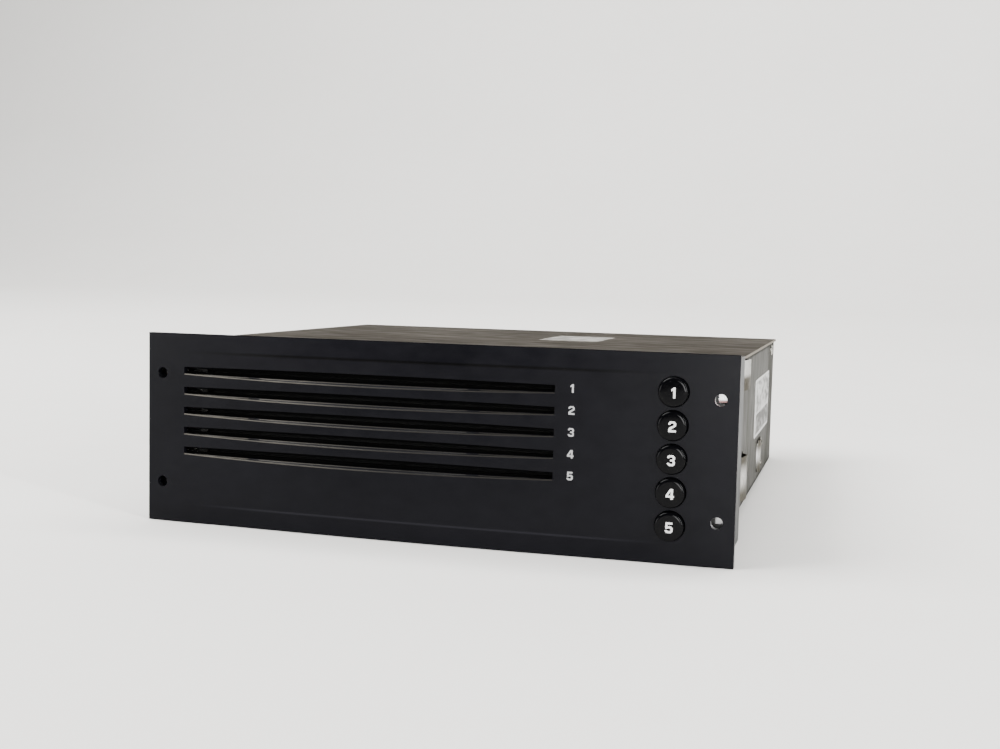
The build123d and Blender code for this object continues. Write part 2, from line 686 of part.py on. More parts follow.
hanger_y = (face_y + lift_pin_y[0] - 13, link_y[0] - 3)
ear_y = (link_y[0] - 34, link_y[0] - 34 + sheet)
hanger_flange = 10.0
hanger_screw_y = (hanger_y[0] + 8, hanger_y[1] - 8)
with BuildPart() as hanger_plate:
    block(hanger_x, hanger_y, (cam_z[0], ceiling_z))
    block((hanger_x[0], hanger_x[1] + hanger_flange), hanger_y, (ceiling_z - sheet, ceiling_z))
    block((hanger_x[0], lift_screw_x + 6), ear_y, around(screw_z, 6.0))
    rod(lift_screw_radius + running, "Y", ear_y[0] - 1, ear_y[1] + 1, lift_screw_across, mode=Mode.SUBTRACT)
    for y in cam_guide_y:
        rod(cam_guide_radius, "X", cam_x["right"][0] - free_gap, hanger_x[1], (face_y + y, guide_z))
    for y in hanger_screw_y:
        rod(small_screw_radius, "Z", ceiling_z - 2, ceiling_z + 1, (hanger_x[1] + 5, y), mode=Mode.SUBTRACT)
save(hanger_plate, "hanger_plate")

with BuildPart() as lift_screw:
    rod(lift_screw_radius, "Y", ear_y[0] - 8, face_y + main_board_y - 1.5, lift_screw_across)
save(lift_screw, "lift_screw")

with BuildPart() as lift_motor:
    rod(lift_motor_radius, "Y", ear_y[0] - lift_motor_length, ear_y[0], lift_screw_across)
    fillet(lift_motor.edges().filter_by(GeomType.CIRCLE), 0.6)
    rod(lift_screw_radius + running, "Y", ear_y[0] - 8.2, ear_y[0] + 1, lift_screw_across, mode=Mode.SUBTRACT)
save(lift_motor, "lift_motor")

# Play arm: parked in the bay on the right, along Y, and swung in under the lowest disc

arm_length = hypot(swing_reach, pivot_y - disc_y)
swing_angle = degrees(atan2(swing_reach, pivot_y - disc_y))
pivot_place = (pivot_x, face_y + pivot_y)
spindle_place = (pivot_x, face_y + pivot_y - arm_length)
arm_z = floor_z + 1.7
arm_top = arm_z + arm_thick
clamp_z = slot_z[-1] + disc_thick / 2 + 1.8
hub_top = clamp_z
spindle_motor_height = 5.4
rail_z = arm_top + 3.8
rail_x = pivot_x - sled_half_width + 2.6
lead_x = pivot_x + sled_half_width - 3.0
sled_middle = spindle_place[1] + sled_start + 1
rail_y = (spindle_place[1] + 12.0, sled_middle + sled_travel + sled_length / 2 + 3.0)
arm_body = (spindle_place[1], rail_y[1] + 6.0)
with BuildPart() as pivot_post:
    rod(pivot_radius, "Z", case_z[0], clamp_z + 2.0, pivot_place)
    rod(hub_radius - 2, "Z", floor_z, arm_z - 0.6, pivot_place)
save(pivot_post, "pivot_post")

with BuildPart() as swing_arm:
    with BuildSketch(Plane.XY.offset(arm_z)):
        with Locations(spindle_place):
            Circle(arm_half_width)
        with Locations((pivot_x, sum(arm_body) / 2)):
            Rectangle(2 * arm_half_width, arm_body[1] - arm_body[0])
        with Locations(pivot_place):
            Circle(hub_radius)
        make_hull()
    extrude(amount=arm_thick)
    rod(hub_radius, "Z", arm_z - 0.6, hub_top, pivot_place)
    for side in (-1, 1):
        wall = tuple(sorted((pivot_x + side * arm_half_width, pivot_x + side * (arm_half_width - 1))))
        block(wall, arm_body, (arm_top, arm_top + arm_wall_height))
    for y in (rail_y[0] - 1, rail_y[1]):
        block(around(pivot_x, arm_half_width - 1), (y, y + 1), (arm_top, rail_z + 1.8))
    rod(guide_rod_radius, "Y", rail_y[0] - 2, rail_y[1] + 2, (rail_x, rail_z), mode=Mode.SUBTRACT)
    rod(lead_screw_radius + running, "Y", rail_y[0] - 2, rail_y[1] + 2, (lead_x, rail_z), mode=Mode.SUBTRACT)
    rod(pivot_radius + running, "Z", floor_z, hub_top + 1, pivot_place, mode=Mode.SUBTRACT)
save(swing_arm, "swing_arm")

with BuildPart() as spindle_motor:
    motor_top = arm_top + spindle_motor_height
    rod(spindle_motor_radius, "Z", arm_top, motor_top, spindle_place)
    chamfer(spindle_motor.edges().filter_by(GeomType.CIRCLE).sort_by(Axis.Z)[-1], 0.5)
    rod(shaft_radius + running, "Z", arm_top + 0.8, motor_top + 1, spindle_place, mode=Mode.SUBTRACT)
save(spindle_motor, "spindle_motor")

with BuildPart() as turntable:
    table_z = motor_top + 0.5
    rod(turntable_radius, "Z", table_z, table_z + 1.8, spindle_place)
    rod(turntable_boss_radius, "Z", table_z + 1.8, table_z + 3.2, spindle_place)
    chamfer(turntable.edges().filter_by(GeomType.CIRCLE).sort_by(Axis.Z)[-1], 0.6)
    rod(shaft_radius, "Z", arm_top + 1, table_z, spindle_place)
save(turntable, "turntable")

with BuildPart() as clamp_arm:
    with BuildSketch(Plane.XY.offset(clamp_z)):
        for place in (pivot_place, spindle_place):
            with Locations(place):
                Circle(clamp_half_width)
        make_hull()
        with Locations(pivot_place):
            Circle(pivot_radius + running, mode=Mode.SUBTRACT)
        with Locations(spindle_place):
            Circle(2.0 + running, mode=Mode.SUBTRACT)
    extrude(amount=sheet)
save(clamp_arm, "clamp_arm")

with BuildPart() as clamp_puck:
    rod(clamp_radius, "Z", clamp_z - 1.1, clamp_z - 0.2, spindle_place)
    rod(2.0, "Z", clamp_z - 0.2, clamp_z + sheet + 0.2, spindle_place)
    rod(3.0, "Z", clamp_z + sheet + 0.2, clamp_z + sheet + 0.6, spindle_place)
save(clamp_puck, "clamp_puck")

sled_y = around(sled_middle, sled_length / 2)
with BuildPart() as pickup_sled:
    block(around(pivot_x, sled_half_width), sled_y, (arm_top + 1.0, arm_top + 7.2))
    rod(3.2, "Z", arm_top + 7.2, arm_top + 8.2, (pivot_x, spindle_place[1] + sled_start))
    rod(guide_rod_radius + running, "Y", sled_y[0] - 1, sled_y[1] + 1, (rail_x, rail_z), mode=Mode.SUBTRACT)
    rod(lead_screw_radius + running, "Y", sled_y[0] - 1, sled_y[1] + 1, (lead_x, rail_z), mode=Mode.SUBTRACT)
save(pickup_sled, "pickup_sled")

with BuildPart() as guide_rod:
    rod(guide_rod_radius, "Y", rail_y[0] - 1, rail_y[1] + 1, (rail_x, rail_z))
save(guide_rod, "guide_rod")

sled_motor_radius = 4.5
sled_motor_y = (rail_y[1] + 1, rail_y[1] + 14)
with BuildPart() as lead_screw:
    rod(lead_screw_radius, "Y", rail_y[0] - 1, sled_motor_y[0] + 6, (lead_x, rail_z))
save(lead_screw, "lead_screw")

with BuildPart() as sled_motor:
    rod(sled_motor_radius, "Y", sled_motor_y[0], sled_motor_y[1], (lead_x, rail_z))
    block(around(lead_x, sled_motor_radius), sled_motor_y, (arm_z, arm_top), mode=Mode.SUBTRACT)
    rod(lead_screw_radius + running, "Y", sled_motor_y[0] - 1, sled_motor_y[0] + 6.2, (lead_x, rail_z),
        mode=Mode.SUBTRACT)
save(sled_motor, "sled_motor")

# Electronics and the rear socket

board_y = (face_y + main_board_y, face_y + main_board_y + board_thick)
with BuildPart() as main_board:
    block((board_edge_gap - inner_x, inner_x - board_edge_gap), board_y, (floor_z + 1.5, ceiling_z - 2))
    for side in (-1, 1):
        place = (side * board_tab_x, floor_z + 6)
        rod(small_screw_radius, "Y", board_y[0] - 1, board_y[1] + 1, place, mode=Mode.SUBTRACT)
save(main_board, "main_board")

capacitors = ((-30.0, 44.0, 4.0), (-18.0, 44.0, 4.0), (30.0, 44.0, 3.2), (42.0, 44.0, 3.2))
chips = ((-20.0, 26.0), (20.0, 20.0), (48.0, 24.0))
with BuildPart() as board_parts:
    for x, z, radius in capacitors:
        rod(radius, "Y", board_y[1], board_y[1] + 7.0, (x, z))
    for x, z in chips:
        block(around(x, 9.0), (board_y[1], board_y[1] + 2.0), around(z, 6.0))
save(board_parts, "board_parts")

socket_x_range = around(socket_x, socket_size[0] / 2)
socket_z_range = around(socket_z, socket_size[1] / 2)
socket_back = case_y[1] + socket_proud
with BuildPart() as bus_socket:
    block(socket_x_range, (board_y[1], socket_back), socket_z_range)
    block((socket_x_range[0] + socket_wall, socket_x_range[1] - socket_wall),
          (socket_back - socket_depth, socket_back + 1),
          (socket_z_range[0] + socket_wall, socket_z_range[1] - socket_wall), mode=Mode.SUBTRACT)
    pin_places = [(socket_x + 4.0 * (k - 2), socket_z + 2.2 * row) for k in range(5) for row in (-1, 1)]
    for place in pin_places:
        rod(0.4, "Y", board_y[1] - 1, socket_back, place, mode=Mode.SUBTRACT)
save(bus_socket, "bus_socket")

with BuildPart() as socket_pins:
    for place in pin_places:
        rod(0.4, "Y", board_y[1], socket_back - 1.5, place)
save(socket_pins, "socket_pins")

with BuildPart() as mech_screws:
    left_foot = left_plate_x[1] + foot_length / 2
    right_foot = right_plate_x[0] - foot_length / 2
    for x in (left_foot, right_foot, bracket_x[1] + foot_length / 2):
        screw(small_screw_radius, 1.9, 1.2, floor_z, floor_z + sheet, 1, (x, axis_y), axis="Z")
    for y in hanger_screw_y:
        screw(small_screw_radius, 1.9, 1.2, ceiling_z, ceiling_z - sheet, -1, (hanger_x[1] + 5, y), axis="Z")
    for side in (-1, 1):
        tab_back = board_y[1] + sheet
        screw(small_screw_radius, 1.9, 1.2, tab_back, board_y[0], -1, (side * board_tab_x, floor_z + 6))
save(mech_screws, "mech_screws")

print("swing angle", round(swing_angle, 3), "face plane", round(face_y, 3))
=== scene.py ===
"""Looks of an in-dash disc changer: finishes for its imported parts, and finer pieces where the eye comes near.

Frame: X to the viewer's right, Y into the dashboard, Z up. Blender's unit is the metre, and the sizes
written here are millimetres, which MM turns to metres.
"""

from __future__ import annotations

import json
import logging
import math
import time
from contextlib import contextmanager
from dataclasses import dataclass
from enum import Enum
from typing import Callable, Iterator, Sequence

import bmesh
import bpy
from mathutils import Matrix, Vector

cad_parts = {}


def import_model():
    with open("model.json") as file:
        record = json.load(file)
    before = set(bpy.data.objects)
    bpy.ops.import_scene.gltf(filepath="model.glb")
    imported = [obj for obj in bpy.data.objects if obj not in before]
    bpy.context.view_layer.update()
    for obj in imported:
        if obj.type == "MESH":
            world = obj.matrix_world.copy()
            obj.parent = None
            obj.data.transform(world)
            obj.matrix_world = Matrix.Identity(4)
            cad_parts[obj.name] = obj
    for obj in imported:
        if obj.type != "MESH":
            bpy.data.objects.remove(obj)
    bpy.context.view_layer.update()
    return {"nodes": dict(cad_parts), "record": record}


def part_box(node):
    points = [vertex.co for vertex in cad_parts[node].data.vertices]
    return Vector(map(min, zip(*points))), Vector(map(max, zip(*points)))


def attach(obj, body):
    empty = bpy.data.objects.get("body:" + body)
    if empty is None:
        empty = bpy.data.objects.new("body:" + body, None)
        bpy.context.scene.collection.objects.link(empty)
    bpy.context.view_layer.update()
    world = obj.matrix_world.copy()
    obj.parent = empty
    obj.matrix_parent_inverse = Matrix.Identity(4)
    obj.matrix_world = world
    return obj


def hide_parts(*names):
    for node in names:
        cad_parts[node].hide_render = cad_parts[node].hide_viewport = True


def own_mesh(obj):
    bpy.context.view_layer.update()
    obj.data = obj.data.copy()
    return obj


MM = 0.001
LOG = logging.getLogger("disc_changer")
Piece = bpy.types.Object
Tree = bpy.types.NodeTree
Socket = bpy.types.NodeSocket
Point = tuple[float, float, float]
Span = tuple[float, float]
Test = Callable[[Vector, Vector], bool]


class Along(Enum):
    """The axis that a rod, a cut, an edge or a rolled grain runs along."""

    X = 0
    Y = 1
    Z = 2

    @property
    def unit(self) -> Vector:
        """The axis as a unit vector."""
        return Vector([float(k == self.value) for k in range(3)])

    @property
    def others(self) -> list[int]:
        """The numbers of the two other axes."""
        return [k for k in range(3) if k != self.value]

    def spot(self, value: float, across: Span) -> Vector:
        """A point from its value on this axis and its values on the two others."""
        return Vector((*across[: self.value], value, *across[self.value :]))


class Cut(Enum):
    """What a boolean does with its tool."""

    AWAY = "DIFFERENCE"
    JOIN = "UNION"


class Kind(Enum):
    """What is picked in edit mode."""

    FACE = "FACE"
    EDGE = "EDGE"


# Shared sizes


@dataclass(frozen=True)
class Unit:
    """Sizes in millimetres that several pieces share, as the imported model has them."""

    face_y: float = -90.558
    width: float = 188.0
    height: float = 60.7
    bow: float = 2.5
    skin: float = 2.0
    rim: float = 1.5
    case_low: float = 8.5
    case_depth: float = 175.0
    wall_x: float = 90.2
    slot_x: float = -19.9
    slot_pitch: float = 6.4
    top_slot_z: float = 49.07
    button_pitch: float = 9.64
    top_button_z: float = 49.74
    button_x: float = 75.6

    @property
    def back_y(self) -> float:
        """Where the case ends behind."""
        return self.face_y + self.case_depth

    def bow_at(self, x: float) -> float:
        """How far the front stands before the plane of its ends, at a distance from the middle."""
        radius = ((self.width / 2) ** 2 + self.bow**2) / (2 * self.bow)
        return math.sqrt(radius**2 - x**2) - (radius - self.bow)

    def slot_z(self, number: int) -> float:
        """Height of a disc slot, counted from 1 at the top."""
        return self.top_slot_z - self.slot_pitch * (number - 1)

    def button_z(self, number: int) -> float:
        """Height of a button, counted from 1 at the top."""
        return self.top_button_z - self.button_pitch * (number - 1)

    def button_drops(self) -> list[Point]:
        """The five buttons' places, seen from the uppermost one."""
        return [(0, 0, self.button_z(k) - self.button_z(1)) for k in range(1, 6)]


UNIT = Unit()


# Mesh tools


def deselect() -> None:
    """Leave nothing selected."""
    bpy.ops.object.select_all(action="DESELECT")


def activate(obj: Piece) -> None:
    """Make one object the only selected one, and the active one."""
    deselect()
    obj.select_set(True)
    bpy.context.view_layer.objects.active = obj


@contextmanager
def editing(obj: Piece) -> Iterator[None]:
    """Edit mode on one object, entered with nothing selected.

    Args:
        obj: The mesh object to edit.
    """
    activate(obj)
    bpy.ops.object.mode_set(mode="EDIT")
    bpy.ops.mesh.select_all(action="DESELECT")
    yield
    bpy.ops.object.mode_set(mode="OBJECT")


def pick(obj: Piece, kind: Kind, test: Test) -> None:
    """Select faces or edges in edit mode by where they are, in millimetres.

    Args:
        obj: The object in edit mode.
        kind: What is picked.
        test: Takes a face's middle and normal, or an edge's two ends, and says whether to select it.
    """
    bpy.ops.mesh.select_mode(type=kind.value)
    bpy.ops.mesh.select_all(action="DESELECT")
    mesh = bmesh.from_edit_mesh(obj.data)
    if kind is Kind.FACE:
        chosen = [f for f in mesh.faces if test(f.calc_center_median() / MM, f.normal)]
    else:
        chosen = [e for e in mesh.edges if test(e.verts[0].co / MM, e.verts[1].co / MM)]
    for element in chosen:
        element.select_set(True)
    bmesh.update_edit_mesh(obj.data)


def runs(along: Along) -> Test:
    """A test for edges that run along an axis."""
    return lambda a, b: all(abs(a[k] - b[k]) < 0.001 for k in along.others)


def settle(obj: Piece, name: str) -> Piece:
    """Name an object and put its place into its mesh.

    Args:
        obj: The object.
        name: Its new name.

    Returns:
        The same object, at the origin.
    """
    activate(obj)
    bpy.ops.object.transform_apply(location=True, rotation=True, scale=True)
    obj.name = name
    obj.data.name = name
    return obj


def box(name: str, x: Span, y: Span, z: Span) -> Piece:
    """A box to start a piece or a cutter from.

    Args:
        name: Its name.
        x: Where it starts and ends along X.
        y: The same along Y.
        z: The same along Z.

    Returns:
        The box.
    """
    deselect()
    middle = [(span[0] + span[1]) / 2 * MM for span in (x, y, z)]
    size = [(span[1] - span[0]) * MM for span in (x, y, z)]
    bpy.ops.mesh.primitive_cube_add(size=1, location=middle, scale=size)
    return settle(bpy.context.object, name)


def rod(name: str, radius: float, along: Along, span: Span, across: Span, sides: int = 48) -> Piece:
    """A rod along an axis, to start a turned piece or a drill from.

    Args:
        name: Its name.
        radius: Its radius.
        along: The axis it runs along.
        span: Where it starts and ends on that axis.
        across: Its place on the two other axes, in their order.
        sides: Number of sides.

    Returns:
        The rod.
    """
    deselect()
    turns = {Along.X: (0, math.pi / 2, 0), Along.Y: (math.pi / 2, 0, 0), Along.Z: (0, 0, 0)}
    bpy.ops.mesh.primitive_cylinder_add(
        vertices=sides,
        radius=radius * MM,
        depth=(span[1] - span[0]) * MM,
        location=along.spot((span[0] + span[1]) / 2, across) * MM,
        rotation=turns[along],
    )
    return settle(bpy.context.object, name)


def turned(
    name: str, along: Along, span: Span, across: Span, profile: Sequence[Span], sides: int = 48
) -> Piece:
    """A rod shaped at one end as on a lathe: its end face is extruded and resized, row by row.

    Args:
        name: Its name.
        along: The axis it runs along.
        span: Where its plain end lies on that axis, and where its shaped end starts.
        across: Its place on the two other axes, in their order.
        profile: Rows of radius and distance beyond the rod. The first one is the rod's own rim.
        sides: Number of sides.

    Returns:
        The turned piece.
    """
    piece = rod(name, profile[0][0], along, (min(span), max(span)), across, sides)
    outward = along.unit * math.copysign(1.0, span[1] - span[0])
    end = along.spot(span[1], across)
    with editing(piece):
        pick(piece, Kind.FACE, lambda m, n: n.dot(outward) > 0.99 and (m - end).length < 0.01)
        for (radius, reach), (new_radius, new_reach) in zip(profile, profile[1:]):
            step = outward * ((new_reach - reach) * MM)
            bpy.ops.mesh.extrude_region_move(TRANSFORM_OT_translate={"value": step})
            scale = [1.0 if abs(part) > 0.5 else new_radius / radius for part in outward]
            bpy.ops.transform.resize(value=scale, center_override=(end + outward * new_reach) * MM)
    return piece


def divide(obj: Piece, along: Along, cuts: int) -> None:
    """Divide every edge that runs along an axis, so that the piece can be bent.

    Args:
        obj: The piece.
        along: The axis.
        cuts: Number of cuts in each edge.
    """
    with editing(obj):
        pick(obj, Kind.EDGE, runs(along))
        bpy.ops.mesh.subdivide(number_cuts=cuts)


def slice_at(obj: Piece, along: Along, places: Sequence[float]) -> None:
    """Cut loops through a whole piece.

    Args:
        obj: The piece.
        along: The axis that the cuts stand across.
        places: Where they are on it.
    """
    with editing(obj):
        for place in places:
            bpy.ops.mesh.select_all(action="SELECT")
            bpy.ops.mesh.bisect(plane_co=along.unit * (place * MM), plane_no=along.unit)


def round_corners(obj: Piece, along: Along, size: float, segments: int, test: Test | None = None) -> None:
    """Bevel the edges that run along an axis.

    Args:
        obj: The piece.
        along: The axis.
        size: Width of the bevel.
        segments: Its number of segments.
        test: Picks some of the edges by their ends.
    """
    with editing(obj):
        pick(obj, Kind.EDGE, lambda a, b: runs(along)(a, b) and (test is None or test(a, b)))
        bpy.ops.mesh.bevel(offset=size * MM, segments=segments, affect="EDGES")


def smooth_step(share: float) -> float:
    """A share from 0 to 1, eased at both ends."""
    share = min(1.0, max(0.0, share))
    return share * share * (3 - 2 * share)


def through_stops(stops: Sequence[Span], place: float) -> float:
    """A value at a place, eased between stops.

    Args:
        stops: Pairs of place and value, in rising order of place.
        place: Where the value is wanted.

    Returns:
        The value.
    """
    for (start, first), (end, second) in zip(stops, stops[1:]):
        if place <= end:
            return first + (second - first) * smooth_step((place - start) / (end - start))
    return stops[-1][1]


def apply_modifier(obj: Piece, kind: str, **settings: object) -> None:
    """Add a modifier and apply it.

    Args:
        obj: The object.
        kind: The modifier's type.
        **settings: Its settings by name.
    """
    activate(obj)
    modifier = obj.modifiers.new(kind.lower(), kind)
    for key, value in settings.items():
        setattr(modifier, key, value)
    bpy.ops.object.modifier_apply(modifier=modifier.name)


def joined(pieces: Sequence[Piece], name: str) -> Piece:
    """Join several objects into one.

    Args:
        pieces: The objects.
        name: The name of what they become.

    Returns:
        The joined object.
    """
    activate(pieces[0])
    for piece in pieces:
        piece.select_set(True)
    if len(pieces) > 1:
        bpy.ops.object.join()
    pieces[0].name = name
    pieces[0].data.name = name
    return pieces[0]


def combine(obj: Piece, tools: Sequence[Piece], cut: Cut) -> None:
    """Cut tools away from an object, or add them to it, and remove the tools.

    Args:
        obj: The object.
        tools: Tools that don't overlap one another.
        cut: What to do with them.
    """
    tool = joined(tools, "tool")
    apply_modifier(obj, "BOOLEAN", operation=cut.value, solver="EXACT", object=tool)
    bpy.data.objects.remove(tool)


def copied(obj: Piece, offset: Point = (0, 0, 0), mirror_x: bool = False) -> Piece:
    """A copy with its own mesh.

    Args:
        obj: The piece to copy.
        offset: How far the copy is moved.
        mirror_x: Whether it is first mirrored about X = 0.

    Returns:
        The copy.
    """
    copy = obj.copy()
    copy.data = obj.data.copy()
    bpy.context.scene.collection.objects.link(copy)
    move = Matrix.Translation(Vector(offset) * MM)
    if mirror_x:
        move = move @ Matrix.Scale(-1, 4, (1, 0, 0))
    copy.data.transform(move)
    if mirror_x:
        with editing(copy):
            bpy.ops.mesh.select_all(action="SELECT")
            bpy.ops.mesh.flip_normals()
    return copy


def shade(obj: Piece, angle: float = 50.0) -> None:
    """Smooth shading up to an angle, with normals weighted by the size of the faces.

    Args:
        obj: The piece.
        angle: The sharpest edge that is smoothed, in degrees.
    """
    activate(obj)
    bpy.ops.object.shade_smooth_by_angle(angle=math.radians(angle))
    apply_modifier(obj, "WEIGHTED_NORMAL", keep_sharp=True)


def round_edges(obj: Piece, width: float, segments: int = 2, angle: float = 35.0) -> None:
    """Round every sharp edge, and shade the piece smooth with its flats kept flat.

    Args:
        obj: The piece.
        width: Width of the rounding.
        segments: Its number of segments.
        angle: The bluntest edge that is rounded, in degrees.
    """
    apply_modifier(
        obj,
        "BEVEL",
        width=width * MM,
        segments=segments,
        limit_method="ANGLE",
        angle_limit=math.radians(angle),
        miter_outer="MITER_ARC",
    )
    shade(obj)


# Materials


def linear(hex_colour: str) -> tuple[float, float, float, float]:
    """An sRGB hex colour as linear RGBA."""
    parts = [int(hex_colour[k : k + 2], 16) / 255 for k in (1, 3, 5)]
    return (*(p / 12.92 if p <= 0.04045 else ((p + 0.055) / 1.055) ** 2.4 for p in parts), 1.0)


def add(
    tree: Tree, kind: str, inputs: dict[str | int, object] | None = None, **settings: object
) -> bpy.types.Node:
    """Add a shader node with its settings, values and links.

    Args:
        tree: The material's node tree.
        kind: The node's type, without its ShaderNode prefix.
        inputs: Values or output sockets by input name or number.
        **settings: The node's own settings.

    Returns:
        The node.
    """
    node = tree.nodes.new("ShaderNode" + kind)
    for key, value in settings.items():
        setattr(node, key, value)
    for key, value in (inputs or {}).items():
        if isinstance(value, Socket):
            tree.links.new(value, node.inputs[key])
        else:
            node.inputs[key].default_value = value
    return node


def fresh_material(name: str) -> tuple[bpy.types.Material, Tree, bpy.types.Node]:
    """A new material, its tree and its shader."""
    material = bpy.data.materials.new(name)
    material.use_nodes = True
    return material, material.node_tree, material.node_tree.nodes["Principled BSDF"]


def span_mask(tree: Tree, parts: bpy.types.Node, along: Along, span: Span, soft: float) -> Socket:
    """1 inside a span of one object coordinate and 0 outside it, with soft ends.

    Args:
        tree: The node tree.
        parts: A separate-XYZ node fed with object coordinates.
        along: The axis that the span lies on.
        span: The span in millimetres.
        soft: Half the width of its soft ends, in millimetres.

    Returns:
        The mask's socket.
    """
    middle, half = (span[0] + span[1]) / 2, (span[1] - span[0]) / 2
    shifted = add(tree, "Math", {0: parts.outputs[along.value], 1: middle * MM}, operation="SUBTRACT")
    size = add(tree, "Math", {0: shifted.outputs[0]}, operation="ABSOLUTE")
    edges = {"From Min": (half - soft) * MM, "From Max": (half + soft) * MM, "To Min": 1.0, "To Max": 0.0}
    mask = add(tree, "MapRange", {"Value": size.outputs[0], **edges}, interpolation_type="SMOOTHSTEP")
    return mask.outputs[0]


def noise(tree: Tree, size: float | Point, detail: float, seed: float) -> Socket:
    """Noise on object coordinates.

    Args:
        tree: The node tree.
        size: Size of its features in millimetres, the same all round or along each axis.
        detail: Octaves of noise.
        seed: Shift that keeps two patterns apart.

    Returns:
        The noise's value socket.
    """
    lengths = size if isinstance(size, tuple) else (size, size, size)
    place = {"Scale": [1 / (length * MM) for length in lengths], "Location": (seed, seed * 1.7, seed * 2.3)}
    mapped = add(tree, "Mapping", {"Vector": add(tree, "TexCoord").outputs["Object"], **place})
    pattern = add(tree, "TexNoise", {"Vector": mapped.outputs[0], "Scale": 1.0, "Detail": detail})
    return pattern.outputs["Fac"]


# Noise keeps to the middle of its range, so this stretch of it is spread out to the wanted one
MIDDLE = {"From Min": 0.3, "From Max": 0.7}


@dataclass(frozen=True)
class Band:
    """A stretch of a surface toned otherwise, by painted light or shade or by real dirt or rust, and where
    it ends on a second axis."""

    along: Along
    span: Span
    soft: float
    colour: str
    share: float
    within: tuple[Along, Span, float] | None = None


@dataclass(frozen=True)
class Finish:
    """A surface with a broad variation in colour, a finer pattern, and a grain that only its relief shows.

    A pattern's size is in millimetres, and three unequal lengths along X, Y and Z draw it out into
    streaks. The edge colour is what the surface reflects at a flat angle.
    """

    name: str
    colour: str
    second: str
    roughness: float
    metallic: float = 0.0
    specular: float = 0.5
    broad: float | Point = 40.0
    broad_share: float = 0.5
    pattern: float | Point = 3.0
    pattern_share: float = 0.4
    rough_spread: float = 0.08
    grain: float | Point = 0.3
    relief: float = 0.004
    coat: float = 0.0
    edge: str = "#ffffff"
    bands: tuple[Band, ...] = ()

    def toned(self, tree: Tree, colour: Socket, band: Band) -> Socket:
        """A colour with a band laid over it.

        Args:
            tree: The node tree.
            colour: The colour's socket.
            band: The band.

        Returns:
            The new colour's socket.
        """
        parts = add(tree, "SeparateXYZ", {0: add(tree, "TexCoord").outputs["Object"]})
        mask = span_mask(tree, parts, band.along, band.span, band.soft)
        amount = add(tree, "Math", {0: mask, 1: band.share}, operation="MULTIPLY")
        if band.within is not None:
            limit = span_mask(tree, parts, *band.within)
            amount = add(tree, "Math", {0: amount.outputs[0], 1: limit}, operation="MULTIPLY")
        blend = {0: amount.outputs[0], 6: colour, 7: linear(band.colour)}
        return add(tree, "Mix", blend, data_type="RGBA").outputs[2]

    def material(self) -> bpy.types.Material:
        """The finish as a material, made once and then shared.

        Returns:
            The material.
        """
        known = bpy.data.materials.get(self.name)
        if known is not None:
            return known
        material, tree, shader = fresh_material(self.name)
        broad = noise(tree, self.broad, 2.0, 3.1)
        fine = noise(tree, self.pattern, 4.0, 7.7)
        ranges = (
            (broad, 0.0, self.broad_share),
            (fine, 0.0, self.pattern_share),
            (fine, self.roughness - self.rough_spread, self.roughness + self.rough_spread),
        )
        broad_share, fine_share, rough = (
            add(tree, "MapRange", {"Value": value, **MIDDLE, "To Min": low, "To Max": high}).outputs[0]
            for value, low, high in ranges
        )
        share = add(tree, "Math", {0: broad_share, 1: fine_share}, operation="ADD", use_clamp=True)
        blend = {0: share.outputs[0], 6: linear(self.colour), 7: linear(self.second)}
        colour = add(tree, "Mix", blend, data_type="RGBA").outputs[2]
        for band in self.bands:
            colour = self.toned(tree, colour, band)
        tree.links.new(colour, shader.inputs["Base Color"])
        tree.links.new(rough, shader.inputs["Roughness"])
        if self.relief > 0:
            height = {"Height": noise(tree, self.grain, 2.0, 11.3), "Distance": self.relief * MM}
            bump = add(tree, "Bump", {**height, "Strength": 1.0})
            tree.links.new(bump.outputs[0], shader.inputs["Normal"])
        shader.inputs["Metallic"].default_value = self.metallic
        shader.inputs["Specular IOR Level"].default_value = self.specular
        shader.inputs["Coat Weight"].default_value = self.coat
        shader.inputs["Specular Tint"].default_value = linear(self.edge)
        return material


# The faceplate's plastic on its upper and lower edges, as dull as it left the mould
RIM_ABS = Finish(
    "black_abs_matt_edge", "#0b0b0e", "#131316", 0.8, specular=0.0,
    broad=(60.0, 40.0, 30.0), pattern=(7.0, 3.0, 3.0), grain=0.35, relief=0.006,
)

# The same plastic along the slots' lower lips, smoother, and painted grey as a highlight on their rounded edges
LIP_HIGHLIGHT_ABS = Finish(
    "black_abs_rubbed", "#57534c", "#353431", 0.35, specular=0.1,
    broad=25.0, pattern=(4.0, 0.5, 0.5), pattern_share=0.5, grain=(0.8, 0.2, 0.2), relief=0.003,
    # Painted highlight fading out: the lips darken towards the right, where the light on them falls off
    bands=(Band(Along.X, (-36.0, 120.0), 42.0, "#161514", 0.9),),
)

# White ink pad-printed thinly on the faceplate, so the black shows through a little
FACE_INK = Finish(
    "grey_pad_print", "#a0a0a0", "#7a7a7c", 0.6,
    broad=6.0, broad_share=0.3, pattern=0.5, pattern_share=0.5, relief=0.0,
)

# Seamless paper under the unit: pale, with the faintest mottling
STUDIO_PAPER = Finish(
    "pale_studio_paper", "#eceae6", "#e6e4df", 0.85, specular=0.2,
    broad=300.0, pattern=20.0, pattern_share=0.2, grain=2.0, relief=0.02,
)

